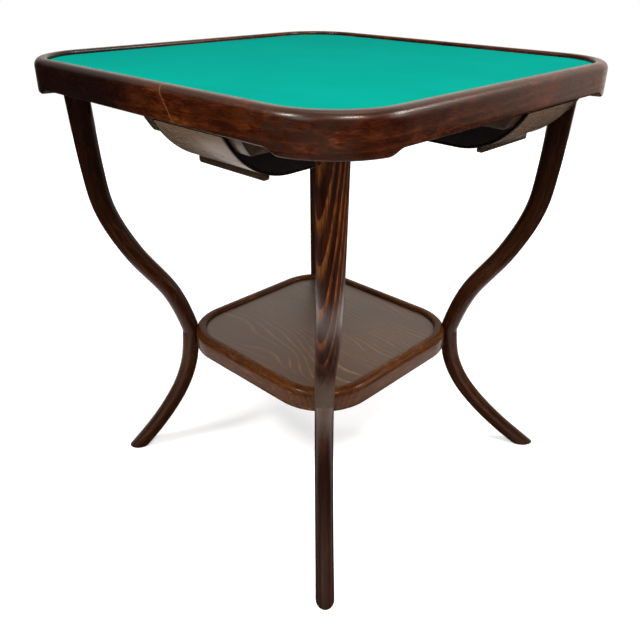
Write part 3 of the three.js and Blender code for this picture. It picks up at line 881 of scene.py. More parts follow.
class Sweep:
    """A closed skin through rings of points, with the grain's own coordinates on it."""

    def __init__(self, name: str) -> None:
        """Starts with no rings.

        Args:
            name: the object's name.
        """
        self.name = name
        self.rings: list[list[Vector]] = []
        self.grains: list[list[Vector]] = []

    def ring(self, points: Sequence[Vector], grains: Sequence[Vector]) -> None:
        """Adds a ring of points with their grain coordinates."""
        self.rings.append([Vector(p) for p in points])
        self.grains.append([Vector(g) for g in grains])

    def build(self, loop_length: float = 0.0, turn: Matrix | None = None) -> bpy.types.Object:
        """Makes the object.

        Args:
            loop_length: the length round the loop where the last ring joins the first, or 0 for capped ends.
            turn: a turn of the whole piece.

        Returns:
            The object.
        """
        count = len(self.rings[0])
        last = len(self.rings)
        verts = [p for ring in self.rings for p in ring]
        faces = []
        for i in range(last if loop_length else last - 1):
            here, there = i * count, (i + 1) % last * count
            for j in range(count):
                k = (j + 1) % count
                faces.append((here + j, here + k, there + k, there + j))
        if not loop_length:
            faces.append(tuple(range(count)))
            faces.append(tuple(range((last - 1) * count, last * count)))
        mesh = bpy.data.meshes.new(self.name)
        mesh.from_pydata(verts, [], faces)
        made = add_object(self.name, mesh)
        face_outward(mesh)
        layer = mesh.attributes.new(GRAIN, "FLOAT_VECTOR", "CORNER")
        grains = [g for ring in self.grains for g in ring]
        for face in mesh.polygons:
            rings = [v // count for v in face.vertices]
            wraps = loop_length and max(rings) - min(rings) > 1
            for loop in face.loop_indices:
                number = mesh.loops[loop].vertex_index
                grain = grains[number].copy()
                if wraps and number < count:
                    grain.x += loop_length
                layer.data[loop].vector = grain
        if turn is not None:
            mesh.transform(turn)
        smooth_shade(mesh, BENT_CREASE)
        return made


def face_outward(mesh: bpy.types.Mesh) -> None:
    """Turns every face of a closed mesh outward.

    Args:
        mesh: the mesh.
    """
    shape = bmesh.new()
    shape.from_mesh(mesh)
    bmesh.ops.recalc_face_normals(shape, faces=shape.faces[:])
    shape.to_mesh(mesh)
    shape.free()


def smooth_shade(mesh: bpy.types.Mesh, sharp: float) -> None:
    """Shades a mesh smoothly, apart from edges sharper than an angle in degrees."""
    mesh.shade_smooth()
    mesh.set_sharp_from_angle(angle=math.radians(sharp))


def eased_copy(node: str, name: str, ease: float) -> bpy.types.Object:
    """Copies a sawn node with its sharp edges eased, as sandpaper leaves them.

    Args:
        node: the CAD node.
        name: the new object's name.
        ease: how far in from an edge the easing starts.

    Returns:
        The new object.
    """
    shape = bmesh.new()
    shape.from_mesh(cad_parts[node].data)
    bmesh.ops.remove_doubles(shape, verts=shape.verts[:], dist=SAME_PLACE)
    bmesh.ops.dissolve_limit(shape, angle_limit=FLAT_ANGLE, verts=shape.verts[:], edges=shape.edges[:])
    sharp = [e for e in shape.edges if len(e.link_faces) == 2 and e.calc_face_angle(0.0) > EDGE_ANGLE]
    bmesh.ops.bevel(
        shape, geom=sharp, offset=ease, segments=2, profile=0.5, affect="EDGES", clamp_overlap=True
    )
    mesh = bpy.data.meshes.new(name)
    shape.to_mesh(mesh)
    shape.free()
    made = add_object(name, mesh)
    smooth_shade(mesh, SAWN_CREASE)
    return made


def place_piece(piece: bpy.types.Object, finish: Finish, body: str, nodes: Sequence[str]) -> None:
    """Dresses a piece, lets it ride on its body in place of its nodes, and reports it.

    Args:
        piece: the object.
        finish: its finish.
        body: the body that it rides on.
        nodes: the nodes that it stands for.
    """
    piece.data.materials.clear()
    piece.data.materials.append(finish.material())
    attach(piece, body)
    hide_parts(*nodes)
    LOG.info("%s on %s: %d faces", piece.name, body, len(piece.data.polygons))


def dress_node(node: str, finish: Finish) -> None:
    """Gives a carried-over node its finish and reports it.

    Args:
        node: the CAD node.
        finish: its finish.
    """
    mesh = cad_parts[node].data
    mesh.materials.clear()
    mesh.materials.append(finish.material())
    LOG.info("%s carried over", node)


class Tree(Nodes):
    """A Geometry Nodes tree that is being written."""

    def __init__(self, name: str, sizes: dict[str, tuple[str, object]]) -> None:
        """Starts a tree with a geometry input and output, and named sizes.

        Args:
            name: the tree's name.
            sizes: the socket type and value of each named input.
        """
        super().__init__(bpy.data.node_groups.new(name, "GeometryNodeTree"))
        self.sizes = sizes
        face = self.tree.interface
        for way in ("INPUT", "OUTPUT"):
            face.new_socket("Geometry", in_out=way, socket_type="NodeSocketGeometry")
        self.names = {}
        for size, (kind, _) in sizes.items():
            self.names[size] = face.new_socket(size, in_out="INPUT", socket_type=kind).identifier
        self.given = self.node("NodeGroupInput").outputs
        self.result = self.node("NodeGroupOutput")

    def close(self, geometry: Socket) -> None:
        """Ends the tree in real geometry with its finish.

        Args:
            geometry: the socket of the last geometry.
        """
        real = self.node("GeometryNodeRealizeInstances", {"Geometry": geometry})
        dressed = {"Geometry": real.outputs[0], "Material": self.given["Finish"]}
        done = self.node("GeometryNodeSetMaterial", dressed)
        self.tree.links.new(done.outputs[0], self.result.inputs[0])

    def bake(self, seed: bpy.types.Object, name: str) -> bpy.types.Object:
        """Runs the tree on an object and keeps the result as a plain mesh.

        Args:
            seed: the object with the input geometry, which is then removed.
            name: the new object's name.

        Returns:
            The new object.
        """
        modifier = seed.modifiers.new(self.tree.name, "NODES")
        modifier.node_group = self.tree
        for size, (_, value) in self.sizes.items():
            modifier[self.names[size]] = value
        bpy.context.view_layer.update()
        graph = bpy.context.evaluated_depsgraph_get()
        mesh = bpy.data.meshes.new_from_object(seed.evaluated_get(graph), depsgraph=graph)
        seed.modifiers.remove(modifier)
        bpy.data.objects.remove(seed)
        mesh.name = name
        return add_object(name, mesh)


def ring_tree(half: float, radius: float, steps: int, finish: Finish) -> Tree:
    """Writes the tree that bends a strip of the given section into a rounded square.

    Args:
        half: half the ring's outer width.
        radius: its corner radius.
        steps: how many parts a corner has.
        finish: its finish.

    Returns:
        The tree.
    """
    tree = Tree(
        "bent_ring",
        {
            "Half Width": ("NodeSocketFloat", half),
            "Corner Radius": ("NodeSocketFloat", radius),
            "Corner Parts": ("NodeSocketInt", steps),
            "Finish": ("NodeSocketMaterial", finish.material()),
        },
    )
    given = tree.given
    width = tree.times(given["Half Width"], 2.0)
    square = tree.node("GeometryNodeCurvePrimitiveQuadrilateral", {"Width": width, "Height": width})
    corners = {"Curve": square.outputs[0], "Radius": given["Corner Radius"], "Count": given["Corner Parts"]}
    path = tree.node("GeometryNodeFilletCurve", {**corners, "Limit Radius": True}, mode="POLY")
    level = tree.node("GeometryNodeSetCurveNormal", {"Curve": path.outputs[0]}, mode="Z_UP")
    section = tree.node("GeometryNodeMeshToCurve", {"Mesh": given["Geometry"]})
    curves = {"Curve": level.outputs[0], "Profile Curve": section.outputs[0]}
    tree.close(tree.node("GeometryNodeCurveToMesh", curves).outputs[0])
    return tree


def screw_tree(length: float, finish: Finish) -> Tree:
    """Writes the tree that sets a slotted wood screw at each given point.

    Args:
        length: the screws' length.
        finish: their finish.

    Returns:
        The tree.
    """
    tree = Tree(
        "wood_screws",
        {
            "Length": ("NodeSocketFloat", length),
            "Shank Radius": ("NodeSocketFloat", 0.0025),
            "Head Radius": ("NodeSocketFloat", 0.0045),
            "Head Height": ("NodeSocketFloat", 0.0026),
            "Tip Length": ("NodeSocketFloat", 0.005),
            "Slot Width": ("NodeSocketFloat", 0.0012),
            "Slot Depth": ("NodeSocketFloat", 0.001),
            "Sides": ("NodeSocketInt", 28),
            "Finish": ("NodeSocketMaterial", finish.material()),
        },
    )
    given = tree.given

    def turned(bottom: object, top: object, depth: object) -> Socket:
        """Turns a part of the screw from its radii and its height."""
        sizes = {"Vertices": given["Sides"], "Radius Top": top, "Radius Bottom": bottom, "Depth": depth}
        return tree.node("GeometryNodeMeshCone", sizes).outputs[0]

    def raised(geometry: Socket, height: Socket) -> Socket:
        """Lifts a part of the screw.

        Args:
            geometry: the socket of the part.
            height: the socket of the height.

        Returns:
            The socket of the lifted part.
        """
        lift = tree.node("ShaderNodeCombineXYZ", {"Z": height})
        inputs = {"Geometry": geometry, "Translation": lift.outputs[0]}
        return tree.node("GeometryNodeTransform", inputs).outputs[0]

    neck = tree.maths("SUBTRACT", given["Length"], given["Head Height"])
    shank_radius = given["Shank Radius"]
    tip = turned(0.0, shank_radius, given["Tip Length"])
    shank = turned(shank_radius, shank_radius, tree.maths("SUBTRACT", neck, given["Tip Length"]))
    head = turned(shank_radius, given["Head Radius"], given["Head Height"])
    across, deep = tree.times(given["Head Radius"], 3.0), tree.times(given["Slot Depth"], 2.0)
    slot_size = tree.node("ShaderNodeCombineXYZ", {"X": across, "Y": given["Slot Width"], "Z": deep})
    slot = tree.node("GeometryNodeMeshCube", {"Size": slot_size.outputs[0]})
    top_slot = raised(slot.outputs[0], given["Head Height"])
    slotted = tree.node("GeometryNodeMeshBoolean", {0: head, 1: top_slot}, operation="DIFFERENCE")
    joined = tree.node("GeometryNodeJoinGeometry")
    for part in (tip, raised(shank, given["Tip Length"]), raised(slotted.outputs[0], neck)):
        tree.tree.links.new(part, joined.inputs[0])
    heading = tree.node("GeometryNodeInputNamedAttribute", {"Name": "heading"}, data_type="FLOAT_VECTOR")
    rotation = tree.node("FunctionNodeEulerToRotation", {0: heading.outputs[0]})
    inputs = {"Points": given["Geometry"], "Instance": joined.outputs[0], "Rotation": rotation.outputs[0]}
    tree.close(tree.node("GeometryNodeInstanceOnPoints", inputs).outputs[0])
    return tree


@dataclass
class Top:
    """The bent rim with its panel and cloth."""

    half: float = 0.352
    corner: float = 0.110
    height: float = 0.768
    depth: float = 0.051
    rise: float = 0.0075
    ogee: float = 0.024
    thickness: float = 0.028
    top_width: float = 0.020
    ledge: float = 0.750
    crown: float = 0.012
    lip: float = 0.004
    foot: float = 0.003
    lip_height: float = 0.0065
    cloth: float = 0.0015
    gap: float = 0.0003
    corner_steps: int = 44
    side_steps: int = 14
    heel_ease: float = 0.0008
    ledge_ease: float = 0.0006
    side_shares: Triple = (0.6, 0.4, 0.22)
    cloth_sink: float = 0.0002
    cloth_rows: int = 26
    cloth_shares: Triple = (0.02, 0.7, 0.985)
    cloth_waves: tuple[Pair, ...] = ((9, 0.00012), (40, 0.00005))
    cut_edge: tuple[Pair, ...] = ((0.0008, 0.0002), (0.0002, 0.0004), (0.0, 0.0009), (0.0, 0.0015))

    def build(self) -> None:
        """Builds the rim and the cloth and keeps the panel."""
        self.build_rim()
        self.build_cloth()
        dress_node("top_panel", PLAIN_WOOD)

    def section(self, ogee: float) -> list[Pair]:
        """The rim's section, as distances in from the outer face and heights.

        Args:
            ogee: the share of the rise of the lower edge there.

        Returns:
            The section's points.
        """
        bottom = self.height - self.depth + self.rise * ogee
        inner = self.thickness
        points = [(inner - self.heel_ease, bottom), (inner, bottom + self.heel_ease)]
        points += [(inner, self.ledge - self.ledge_ease), (inner - self.ledge_ease, self.ledge)]
        points += [(self.top_width, self.ledge)]
        points += arc((self.top_width - self.lip, self.height - self.lip), self.lip, 0, 90, 6)
        points += arc((self.crown, self.height - self.crown), self.crown, 90, 180, 12)
        points += [(0.0, bottom + self.depth * share) for share in self.side_shares]
        points += arc((self.foot, bottom + self.foot), self.foot, 180, 270, 5)
        return points

    def build_rim(self) -> None:
        """Bends the rim."""
        path = SquarePath(self.half, self.corner, self.corner_steps, self.side_steps, self.ogee)
        skin = Sweep("top_rim_bent")
        for station in path.stations():
            points, grains = [], []
            for inset, height in self.section(station.ogee):
                spot = station.place - station.outward * inset
                points.append(Vector((spot.x, spot.y, height)))
                grains.append(Vector((station.along, inset, height)))
            skin.ring(points, grains)
        place_piece(skin.build(path.length), RIM_WOOD, TABLE_BODY, ["top_rim"])

    def build_cloth(self) -> None:
        """Lays the cloth in the rim, with its cut edge pressed down against the lip."""
        outer = self.half - self.top_width - self.gap
        radius = self.corner - self.top_width - self.gap
        level = self.height - self.lip_height
        centre, under, flat = self.cloth_shares
        shares = [centre, *[i / self.cloth_rows for i in range(1, self.cloth_rows)], flat]
        rows = [(outer * share, radius * share, level - self.cloth_sink, True) for share in shares]
        rows += [(outer - inset, radius - inset, level - drop, False) for inset, drop in self.cut_edge]
        rows += [(outer * share, radius * share, level - self.cloth, False) for share in (under, centre)]
        skin = Sweep("playing_cloth_laid")
        for half, corner, height, wavy in rows:
            path = SquarePath(half, corner, corner_steps=10, side_steps=7)
            points = [Vector((*station.place, 0.0)) for station in path.stations()]
            waves = self.cloth_waves if wavy else ()
            for spot in points:
                spot.z = height + sum(noise.noise(spot * fine) * deep for fine, deep in waves)
            skin.ring(points, points)
        made = skin.build()
        place_piece(made, BAIZE, TABLE_BODY, ["playing_cloth"])


@dataclass
class Leg:
    """A round bent leg, built outward along +X and turned to its corner."""

    corner: Corner
    spread: float
    figure_shift: Triple
    finish: WoodFinish = LEG_WOOD
    shoulder: float = 0.717
    waist_height: float = 0.258
    waist_reach: float = 0.24889
    top_reach: float = 0.40024
    top_diameter: float = 0.040
    waist_diameter: float = 0.031
    foot_diameter: float = 0.0295
    tenon_diameter: float = 0.022
    tenon_length: float = 0.025
    seat_reach: float = 0.23489
    seat_span: Pair = (0.240, 0.290)
    level_reach: float = 0.034
    foot_ease: float = 0.001
    rise_shares: tuple[Pair, ...] = (
        (0.06, 0.012), (0.21, 0.2), (0.375, 0.59), (0.545, 0.855), (0.72, 0.945), (1.0, 1.0),
    )
    drop_shares: tuple[Pair, ...] = ((0.2, 0.052), (0.4, 0.187), (0.6, 0.405), (0.8, 0.68), (1.0, 1.0))
    sides: int = 44
    steps_per_span: int = 10

    def line(self) -> list[Vector]:
        """The centre line from foot to shoulder, as distance from the table's axis and height.

        Returns:
            Its points.
        """
        sweep = self.top_reach - self.waist_reach
        rise = self.shoulder - self.waist_height
        points = [
            Vector((self.waist_reach + self.spread * out, self.waist_height * (1 - down)))
            for down, out in reversed(self.drop_shares)
        ]
        points.append(Vector((self.waist_reach, self.waist_height)))
        for up, out in self.rise_shares:
            points.append(Vector((self.waist_reach + sweep * out, self.waist_height + rise * up)))
        made = []
        for i in range(len(points) - 1):
            before, start = points[max(i - 1, 0)], points[i]
            end, after = points[i + 1], points[min(i + 2, len(points) - 1)]
            leave, reach = (end - before) / 2, (after - start) / 2
            for step in range(self.steps_per_span):
                t = step / self.steps_per_span
                cube = (2 * start - 2 * end + leave + reach) * t ** 3
                made.append(cube + (-3 * start + 3 * end - 2 * leave - reach) * t ** 2 + leave * t + start)
        made.append(points[-1])
        return made

    def radius(self, height: float) -> float:
        """Tapers the leg from its waist to both ends.

        Args:
            height: the height on the leg.

        Returns:
            The leg's radius there.
        """
        if height < self.waist_height:
            share = height / self.waist_height
            return (self.foot_diameter + (self.waist_diameter - self.foot_diameter) * share) / 2
        share = (height - self.waist_height) / (self.shoulder - self.waist_height)
        return (self.waist_diameter + (self.top_diameter - self.waist_diameter) * share) / 2

    def build(self) -> None:
        """Builds the leg with its tenon."""
        line = self.line()
        lengths = [0.0]
        for here, there in zip(line, line[1:]):
            lengths.append(lengths[-1] + (there - here).length)
        skin = Sweep(f"{self.corner.word}_leg_bent")
        for i, spot in enumerate(line):
            ahead, behind = line[min(i + 1, len(line) - 1)], line[max(i - 1, 0)]
            tangent = (ahead - behind).normalized()
            from_end = min(lengths[i], lengths[-1] - lengths[i])
            level = smooth(max(0.0, 1 - from_end / self.level_reach))
            if i == 0:
                ease = self.foot_ease
                self._ring(skin, spot, tangent, lengths[i] - ease, self.radius(spot.y) - ease, 1.0)
                spot = spot + tangent * (ease / tangent.y)
                level = 1.0
            self._ring(skin, spot, tangent, lengths[i], self.radius(spot.y), level)
        tenon = self.tenon_diameter / 2
        for height in (self.shoulder, self.shoulder + self.tenon_length):
            along = lengths[-1] + height - self.shoulder
            self._ring(skin, Vector((self.top_reach, height)), Vector((0.0, 1.0)), along, tenon, 1.0)
        made = skin.build(turn=self.corner.turn)
        place_piece(made, self.finish, TABLE_BODY, [f"{self.corner.word}_leg"])

    def _ring(
        self, skin: Sweep, spot: Vector, tangent: Vector, along: float, radius: float, level: float
    ) -> None:
        """Adds a ring square to the line, or level with the floor.

        Args:
            skin: the skin that it joins.
            spot: the centre, as reach and height.
            tangent: the line's direction there.
            along: the length along the line.
            radius: the ring's radius.
            level: how level the ring lies, from 0 to 1.
        """
        points, grains = [], []
        across = Vector((tangent.y, 0.0, -tangent.x))
        way = Vector((tangent.x, 0.0, tangent.y))
        for j in range(self.sides):
            angle = 2 * math.pi * j / self.sides
            out, aside = radius * math.cos(angle), radius * math.sin(angle)
            spoke = across * out + Vector((0.0, aside, 0.0))
            spoke -= way * (spoke.z / way.z) * level
            point = Vector((spot.x, 0.0, spot.y)) + spoke
            if self.seat_span[0] <= point.z <= self.seat_span[1]:
                point.x = max(point.x, self.seat_reach)
            points.append(point)
            grains.append(Vector((along, out, aside)) + Vector(self.figure_shift))
        skin.ring(points, grains)


@dataclass
class Shelf:
    """The small bent rim that the legs hold, and its panel."""

    half: float = 0.196
    corner: float = 0.098
    height: float = 0.285
    depth: float = 0.040
    top_width: float = 0.020
    ledge: float = 0.006
    panel_bottom: float = 0.273
    crown: float = 0.011
    lip: float = 0.005
    belly: float = 0.008
    heel: float = 0.003
    flat_reach: float = 0.23459
    corner_steps: int = 40
    ledge_ease: float = 0.0005

    def section(self) -> list[Pair]:
        """The rim's section, as distances in from the outer face and heights.

        Returns:
            The section's points.
        """
        bottom = self.height - self.depth
        inner = self.top_width + self.ledge
        points = [(inner, self.panel_bottom - self.ledge_ease), (inner - self.ledge_ease, self.panel_bottom)]
        points += [(self.top_width, self.panel_bottom)]
        points += arc((self.top_width - self.lip, self.height - self.lip), self.lip, 0, 90, 7)
        points += arc((self.crown, self.height - self.crown), self.crown, 90, 180, 12)
        points += arc((self.belly, bottom + self.belly), self.belly, 180, 270, 9)
        points += arc((inner - self.heel, bottom + self.heel), self.heel, 270, 360, 5)
        return points

    def build(self) -> None:
        """Bends the rim, planes its seats and keeps the panel."""
        made = self.swept_rim()
        path = SquarePath(self.half, self.corner)
        for vertex in made.data.vertices:
            across, deep = math.copysign(1, vertex.co.x), math.copysign(1, vertex.co.y)
            diagonal = Vector((across, deep, 0.0)).normalized()
            beyond = vertex.co.dot(diagonal) - self.flat_reach
            if beyond > 0:
                vertex.co -= diagonal * beyond
        face_outward(made.data)
        layer = made.data.attributes.new(GRAIN, "FLOAT_VECTOR", "CORNER")
        for face in made.data.polygons:
            spots = [made.data.vertices[made.data.loops[loop].vertex_index].co for loop in face.loop_indices]
            alongs = [path.along_at(spot.x, spot.y) for spot in spots]
            wraps = max(alongs) - min(alongs) > path.length / 2
            for loop, spot, along in zip(face.loop_indices, spots, alongs):
                if wraps and along < path.length / 2:
                    along += path.length
                layer.data[loop].vector = (along, max(abs(spot.x), abs(spot.y)), spot.z)
        smooth_shade(made.data, BENT_CREASE)
        place_piece(made, SHELF_RIM_WOOD, TABLE_BODY, ["shelf_rim"])
        dress_node("shelf_panel", SHELF_PANEL_WOOD)

    def swept_rim(self) -> bpy.types.Object:
        """Sweeps the section round the shelf.

        Returns:
            The ring as a plain mesh.
        """
        section = self.section()
        mesh = bpy.data.meshes.new("shelf_section")
        count = len(section)
        spots = [(-inset, -height, 0.0) for inset, height in section]
        mesh.from_pydata(spots, [(i, (i + 1) % count) for i in range(count)], [])
        seed = add_object("shelf_section", mesh)
        tree = ring_tree(self.half, self.corner, self.corner_steps, SHELF_RIM_WOOD)
        return tree.bake(seed, "shelf_rim_bent")


@dataclass
class DrawerUnit:
    """A drawer with its two runners, built under the front side and turned to its own."""

    side: Side
    table_half: float = 0.352
    offset: float = 0.1015
    half: float = 0.071
    depth: float = 0.226
    top: float = 0.7225
    bottom: float = 0.659
    front_radius: float = 0.120
    front_inset: float = 0.004
    sheet: float = 0.004
    edge_round: float = 0.0009
    arc_steps: int = 40
    ease: float = 0.0007
    pull_ease: float = 0.0009

    def build(self) -> None:
        """Builds the bent sheet, eases the sawn pieces and keeps the hidden ones."""
        word = self.side.word
        body = f"{word}_drawer"
        self.build_sheet(body)
        for part in ("left_end", "right_end", "back"):
            node = f"{word}_drawer_{part}"
            place_piece(eased_copy(node, f"{node}_eased", self.ease), DARK_WOOD, body, [node])
        pull = f"{word}_drawer_pull"
        place_piece(eased_copy(pull, f"{pull}_eased", self.pull_ease), RUNNER_WOOD, body, [pull])
        for hand in ("left", "right"):
            dress_node(f"{word}_drawer_{hand}_slide", PLAIN_WOOD)
            runner = f"{word}_{hand}_runner"
            eased = eased_copy(runner, f"{runner}_eased", self.ease)
            place_piece(eased, RUNNER_WOOD, TABLE_BODY, [runner])

    def build_sheet(self, body: str) -> None:
        """Bends the front and bottom from one sheet.

        Args:
            body: the body that it rides on.
        """
        centre_height = self.bottom + self.front_radius
        chord = math.sqrt(self.front_radius ** 2 - (centre_height - self.top) ** 2)
        centre_inset = self.front_inset + chord
        section = self.sheet_section()
        middle = self.front_radius - self.sheet / 2
        skin = Sweep(f"{self.side.word}_drawer_sheet")
        for i in range(self.arc_steps + 1):
            share = i / self.arc_steps
            points, grains = [], []
            for across, off in section:
                radius = middle + off
                start = math.pi + math.asin((centre_height - self.top) / radius)
                angle = start + (math.pi * 3 / 2 - start) * share
                inset = centre_inset + radius * math.cos(angle)
                height = centre_height + radius * math.sin(angle)
                points.append(Vector((self.offset + across, inset - self.table_half, height)))
                grains.append(Vector((across, share * self.front_radius, off)))
            skin.ring(points, grains)
        for share in (0.25, 0.5, 0.75, 1.0):
            inset = centre_inset + (self.depth - centre_inset) * share
            points, grains = [], []
            for across, off in section:
                height = centre_height - middle - off
                points.append(Vector((self.offset + across, inset - self.table_half, height)))
                grains.append(Vector((across, self.front_radius + inset - centre_inset, off)))
            skin.ring(points, grains)
        made = skin.build(turn=self.side.turn)
        place_piece(made, SHEET_WOOD, body, [f"{self.side.word}_drawer_shell"])

    def sheet_section(self) -> list[Pair]:
        """The sheet's section across the drawer, with eased edges.

        Returns:
            Distances across from the drawer's middle, and out from the sheet's middle.
        """
        wide, thick, ease = self.half, self.sheet / 2, self.edge_round
        points = []
        for x, y, start in ((1, 1, 0), (-1, 1, 90), (-1, -1, 180), (1, -1, 270)):
            points += arc((x * (wide - ease), y * (thick - ease)), ease, start, start + 90, 3)
        return points


@dataclass
class CornerFittings:
    """The glued corner blocks, and the screws through them and through the shelf rim."""

    block_face: float = 0.37429
    screw_sink: float = 0.0006
    leg_screw_height: float = 0.7295
    leg_screw_tip: float = 0.40524
    shelf_screw_height: float = 0.259
    shelf_screw_head: float = 0.21119
    shelf_screw_tip: float = 0.25289

    def build(self) -> None:
        """Keeps the blocks and sets both kinds of screw."""
        for corner in Corner:
            dress_node(f"{corner.word}_corner_block", PLAIN_WOOD)
        leg_head = self.block_face + self.screw_sink
        self.build_screws("leg_screw", leg_head, self.leg_screw_tip, self.leg_screw_height)
        self.build_screws("shelf_screw", self.shelf_screw_head, self.shelf_screw_tip, self.shelf_screw_height)

    def build_screws(self, kind: str, head: float, tip: float, height: float) -> None:
        """Sets four screws, one a corner.

        Args:
            kind: the last word of their nodes' names.
            head: how far out along the diagonal their heads are.
            tip: how far out their tips are.
            height: their height.
        """
        mesh = bpy.data.meshes.new(kind)
        angles = [math.radians(corner.value) for corner in Corner]
        mesh.from_pydata([(tip * math.cos(a), tip * math.sin(a), height) for a in angles], [], [])
        layer = mesh.attributes.new("heading", "FLOAT_VECTOR", "POINT")
        for number, angle in enumerate(angles):
            layer.data[number].vector = (0.0, -math.pi / 2, angle)
        seed = add_object(kind, mesh)
        made = screw_tree(tip - head, STEEL).bake(seed, f"{kind}s_driven")
        smooth_shade(made.data, SAWN_CREASE)
        place_piece(made, STEEL, TABLE_BODY, [f"{corner.word}_{kind}" for corner in Corner])


@dataclass
class Lamp:
    """A soft lamp: its place, width and height, power, and whether polish mirrors it."""

    name: str
    place: Triple
    size: Pair
    power: float
    colour: Colour = (1.0, 1.0, 1.0)
    mirrored: bool = True


@dataclass
class Studio:
    """The floor, the light and the camera."""

    focal_pixels: float = 679.744
    image_pixels: float = 640.0
    principal_height: float = 300.0
    sensor: float = 36.0
    eye: Triple = (0.78475, -0.83226, 0.90246)
    azimuth: float = 43.3171
    pitch: float = 26.4439
    yaw: float = 0.0831
    roll: float = 0.5755
    floor_half: float = 3.0
    floor_colour: Colour = (0.86, 0.86, 0.86)
    floor_lift: float = 0.45
    floor_lift_span: Pair = (0.9, 2.6)
    floor_mirrored: float = 0.9
    floor_far_mirrored: float = 0.02
    mirrored_rise: Pair = (0.38, 0.5)
    mirrored_fall: Pair = (0.64, 0.85)
    room_wall: Triple = (-0.35, 0.94, 0.15)
    wall_span: tuple[float, ...] = (0.32, 0.9, 0.015, 1.1)
    ceiling_span: tuple[float, ...] = (0.2, 0.7, 0.0, 0.8)
    room_ink: Colour = (1.0, 0.88, 0.77)
    fill: float = 0.42
    lamp_target: Triple = (0.0, 0.0, 0.55)
    lamps: tuple[Lamp, ...] = field(
        default_factory=lambda: (
            Lamp("overhead_lamp", (0.0, 0.35, 2.7), (1.1, 1.1), 6.0),
            Lamp("right_window", (1.42, -0.62, 2.28), (0.6, 0.28), 34.0, (1.0, 0.94, 0.9)),
            Lamp("left_window", (-0.27, -1.52, 2.1), (0.4, 0.28), 26.0, (1.0, 0.94, 0.9)),
            Lamp("far_window", (1.22, 1.03, 1.76), (0.4, 0.28), 18.0, (1.0, 0.94, 0.9)),
            Lamp("near_lamp", (0.5, -2.8, 2.2), (1.2, 1.2), 14.0),
            Lamp("low_fill", (1.5, -1.9, 0.4), (1.4, 0.7), 11.0, mirrored=False),
            Lamp("right_lamp", (2.4, 1.6, 1.7), (0.9, 0.9), 14.0),
        )
    )

    def build(self) -> None:
        """Sets up the studio."""
        self.build_floor()
        self.build_world()
        for lamp in self.lamps:
            self.build_lamp(lamp)
        self.build_camera()
        bpy.context.scene.view_settings.view_transform = "Standard"

    def build_floor(self) -> None:
        """Lays the pale floor, which keeps the table's shadow and doesn't show from underneath."""
        reach = self.floor_half
        mesh = bpy.data.meshes.new("studio_floor")
        corners = [(-reach, -reach, 0), (reach, -reach, 0), (reach, reach, 0), (-reach, reach, 0)]
        mesh.from_pydata(corners, [], [(0, 1, 2, 3)])
        made = add_object("studio_floor", mesh)
        recipe = Recipe("pale_floor")
        rays = recipe.node("ShaderNodeLightPath").outputs
        mirrored = rays["Is Glossy Ray"]
        through = recipe.times(rays["Is Transmission Ray"], self.floor_lift)
        length = recipe.node("ShaderNodeVectorMath", {0: recipe.place()}, operation="LENGTH")
        away = length.outputs["Value"]
        dim = self.floor_far_mirrored
        rise = recipe.span(away, *self.mirrored_rise, dim, self.floor_mirrored)
        bright = recipe.times(rise, recipe.span(away, *self.mirrored_fall, 1.0, dim))
        seen = recipe.span(away, *self.floor_lift_span, self.floor_lift, 1.0)
        seen = recipe.times(rays["Is Camera Ray"], seen)
        strength = recipe.most(recipe.most(seen, recipe.times(mirrored, bright)), through)
        lift = recipe.node("ShaderNodeEmission", {"Color": (1.0, 1.0, 1.0, 1.0), "Strength": strength})
        grey = recipe.node("ShaderNodeCombineColor", {channel: bright for channel in range(3)}).outputs[0]
        tone = recipe.blend(mirrored, self.floor_colour, grey)
        paint = recipe.node("ShaderNodeBsdfDiffuse", {"Color": tone})
        lit = recipe.node("ShaderNodeAddShader", {0: paint.outputs[0], 1: lift.outputs[0]})
        clear = recipe.node("ShaderNodeBsdfTransparent")
        below = recipe.node("ShaderNodeNewGeometry").outputs["Backfacing"]
        mixed = recipe.node("ShaderNodeMixShader", {0: below, 1: lit.outputs[0], 2: clear.outputs[0]})
        mesh.materials.append(recipe.close(mixed))

    def build_world(self) -> None:
        """Makes the room: white where it is seen, softer where it only lights, dark behind the camera."""
        world = bpy.data.worlds.new("studio_room")
        bpy.context.scene.world = world
        world.use_nodes = True
        tree = Nodes(world.node_tree)
        rays = tree.node("ShaderNodeLightPath").outputs
        mirrored = rays["Is Glossy Ray"]
        way = tree.node("ShaderNodeTexCoord").outputs["Generated"]
        toward = tree.node("ShaderNodeVectorMath", {0: way, 1: self.room_wall}, operation="DOT_PRODUCT")
        wall = tree.span(toward.outputs["Value"], *self.wall_span)
        ceiling = tree.span(tree.axis(way, 2), *self.ceiling_span)
        seen = tree.most(rays["Is Camera Ray"], rays["Is Transmission Ray"])
        white = tree.most(seen, tree.times(mirrored, tree.most(wall, ceiling)))
        unseen = tree.maths("SUBTRACT", 1.0, tree.most(seen, mirrored))
        strength = tree.plus(unseen, self.fill, white)
        ink = tree.blend(mirrored, (1.0, 1.0, 1.0), self.room_ink)
        back = tree.node("ShaderNodeBackground", {"Color": ink, "Strength": strength})
        tree.node("ShaderNodeOutputWorld", {"Surface": back.outputs[0]})

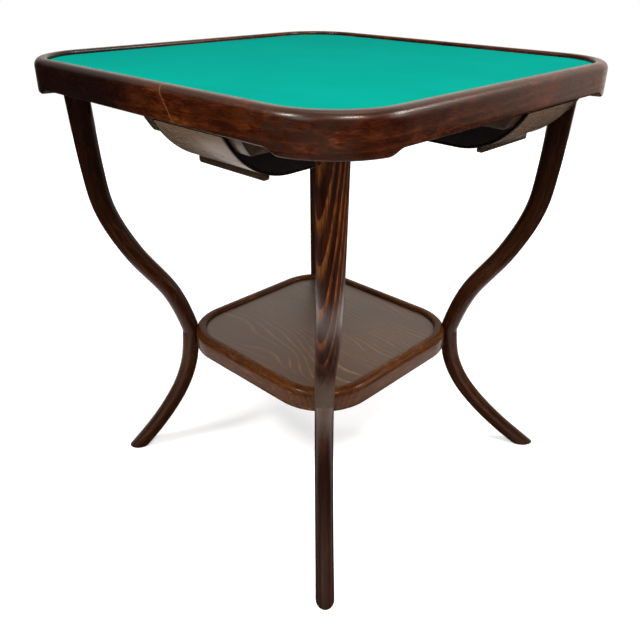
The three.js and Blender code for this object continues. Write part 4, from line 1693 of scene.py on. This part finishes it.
    def build_lamp(self, lamp: Lamp) -> None:
        """Hangs a lamp that faces the table's middle.

        Args:
            lamp: the lamp.
        """
        data = bpy.data.lights.new(lamp.name, "AREA")
        data.shape = "RECTANGLE"
        data.size, data.size_y = lamp.size
        data.energy = lamp.power
        data.color = lamp.colour
        made = add_object(lamp.name, data)
        made.location = lamp.place
        made.visible_glossy = lamp.mirrored
        toward = Vector(self.lamp_target) - Vector(lamp.place)
        made.rotation_euler = toward.to_track_quat("-Z", "Y").to_euler()

    def build_camera(self) -> None:
        """Sets the camera where the photograph was taken."""
        data = bpy.data.cameras.new("photo_camera")
        data.sensor_width = self.sensor
        data.lens = self.focal_pixels / self.image_pixels * self.sensor
        data.shift_y = (self.principal_height - self.image_pixels / 2) / self.image_pixels
        heading = math.radians(self.azimuth + self.yaw)
        pitch, roll = math.radians(self.pitch), math.radians(self.roll)
        flat = math.cos(pitch)
        forward = Vector((-math.sin(heading) * flat, math.cos(heading) * flat, -math.sin(pitch)))
        right = forward.cross(Vector((0.0, 0.0, 1.0))).normalized()
        up = right.cross(forward)
        rolled_right = right * math.cos(roll) + up * math.sin(roll)
        rolled_up = up * math.cos(roll) - right * math.sin(roll)
        made = add_object("photo_camera", data)
        pose = Matrix((rolled_right, rolled_up, -forward)).transposed().to_4x4()
        made.matrix_world = Matrix.Translation(self.eye) @ pose
        bpy.context.scene.camera = made


def main() -> None:
    """Builds the table piece by piece, then the studio."""
    logging.basicConfig(level=logging.INFO, format="%(message)s")
    Top().build()
    front_shift = (0.0, 0.004, 0.006)
    Leg(Corner.FRONT_RIGHT, spread=0.145, figure_shift=front_shift, finish=FRONT_LEG_WOOD).build()
    Leg(Corner.BACK_RIGHT, spread=0.178, figure_shift=(1.3, -0.006, 0.010)).build()
    Leg(Corner.BACK_LEFT, spread=0.150, figure_shift=(2.9, 0.009, -0.004)).build()
    Leg(Corner.FRONT_LEFT, spread=0.126, figure_shift=(4.1, -0.003, -0.012)).build()
    Shelf().build()
    for side in Side:
        DrawerUnit(side).build()
    CornerFittings().build()
    Studio().build()


if __name__ == "__main__":
    main()
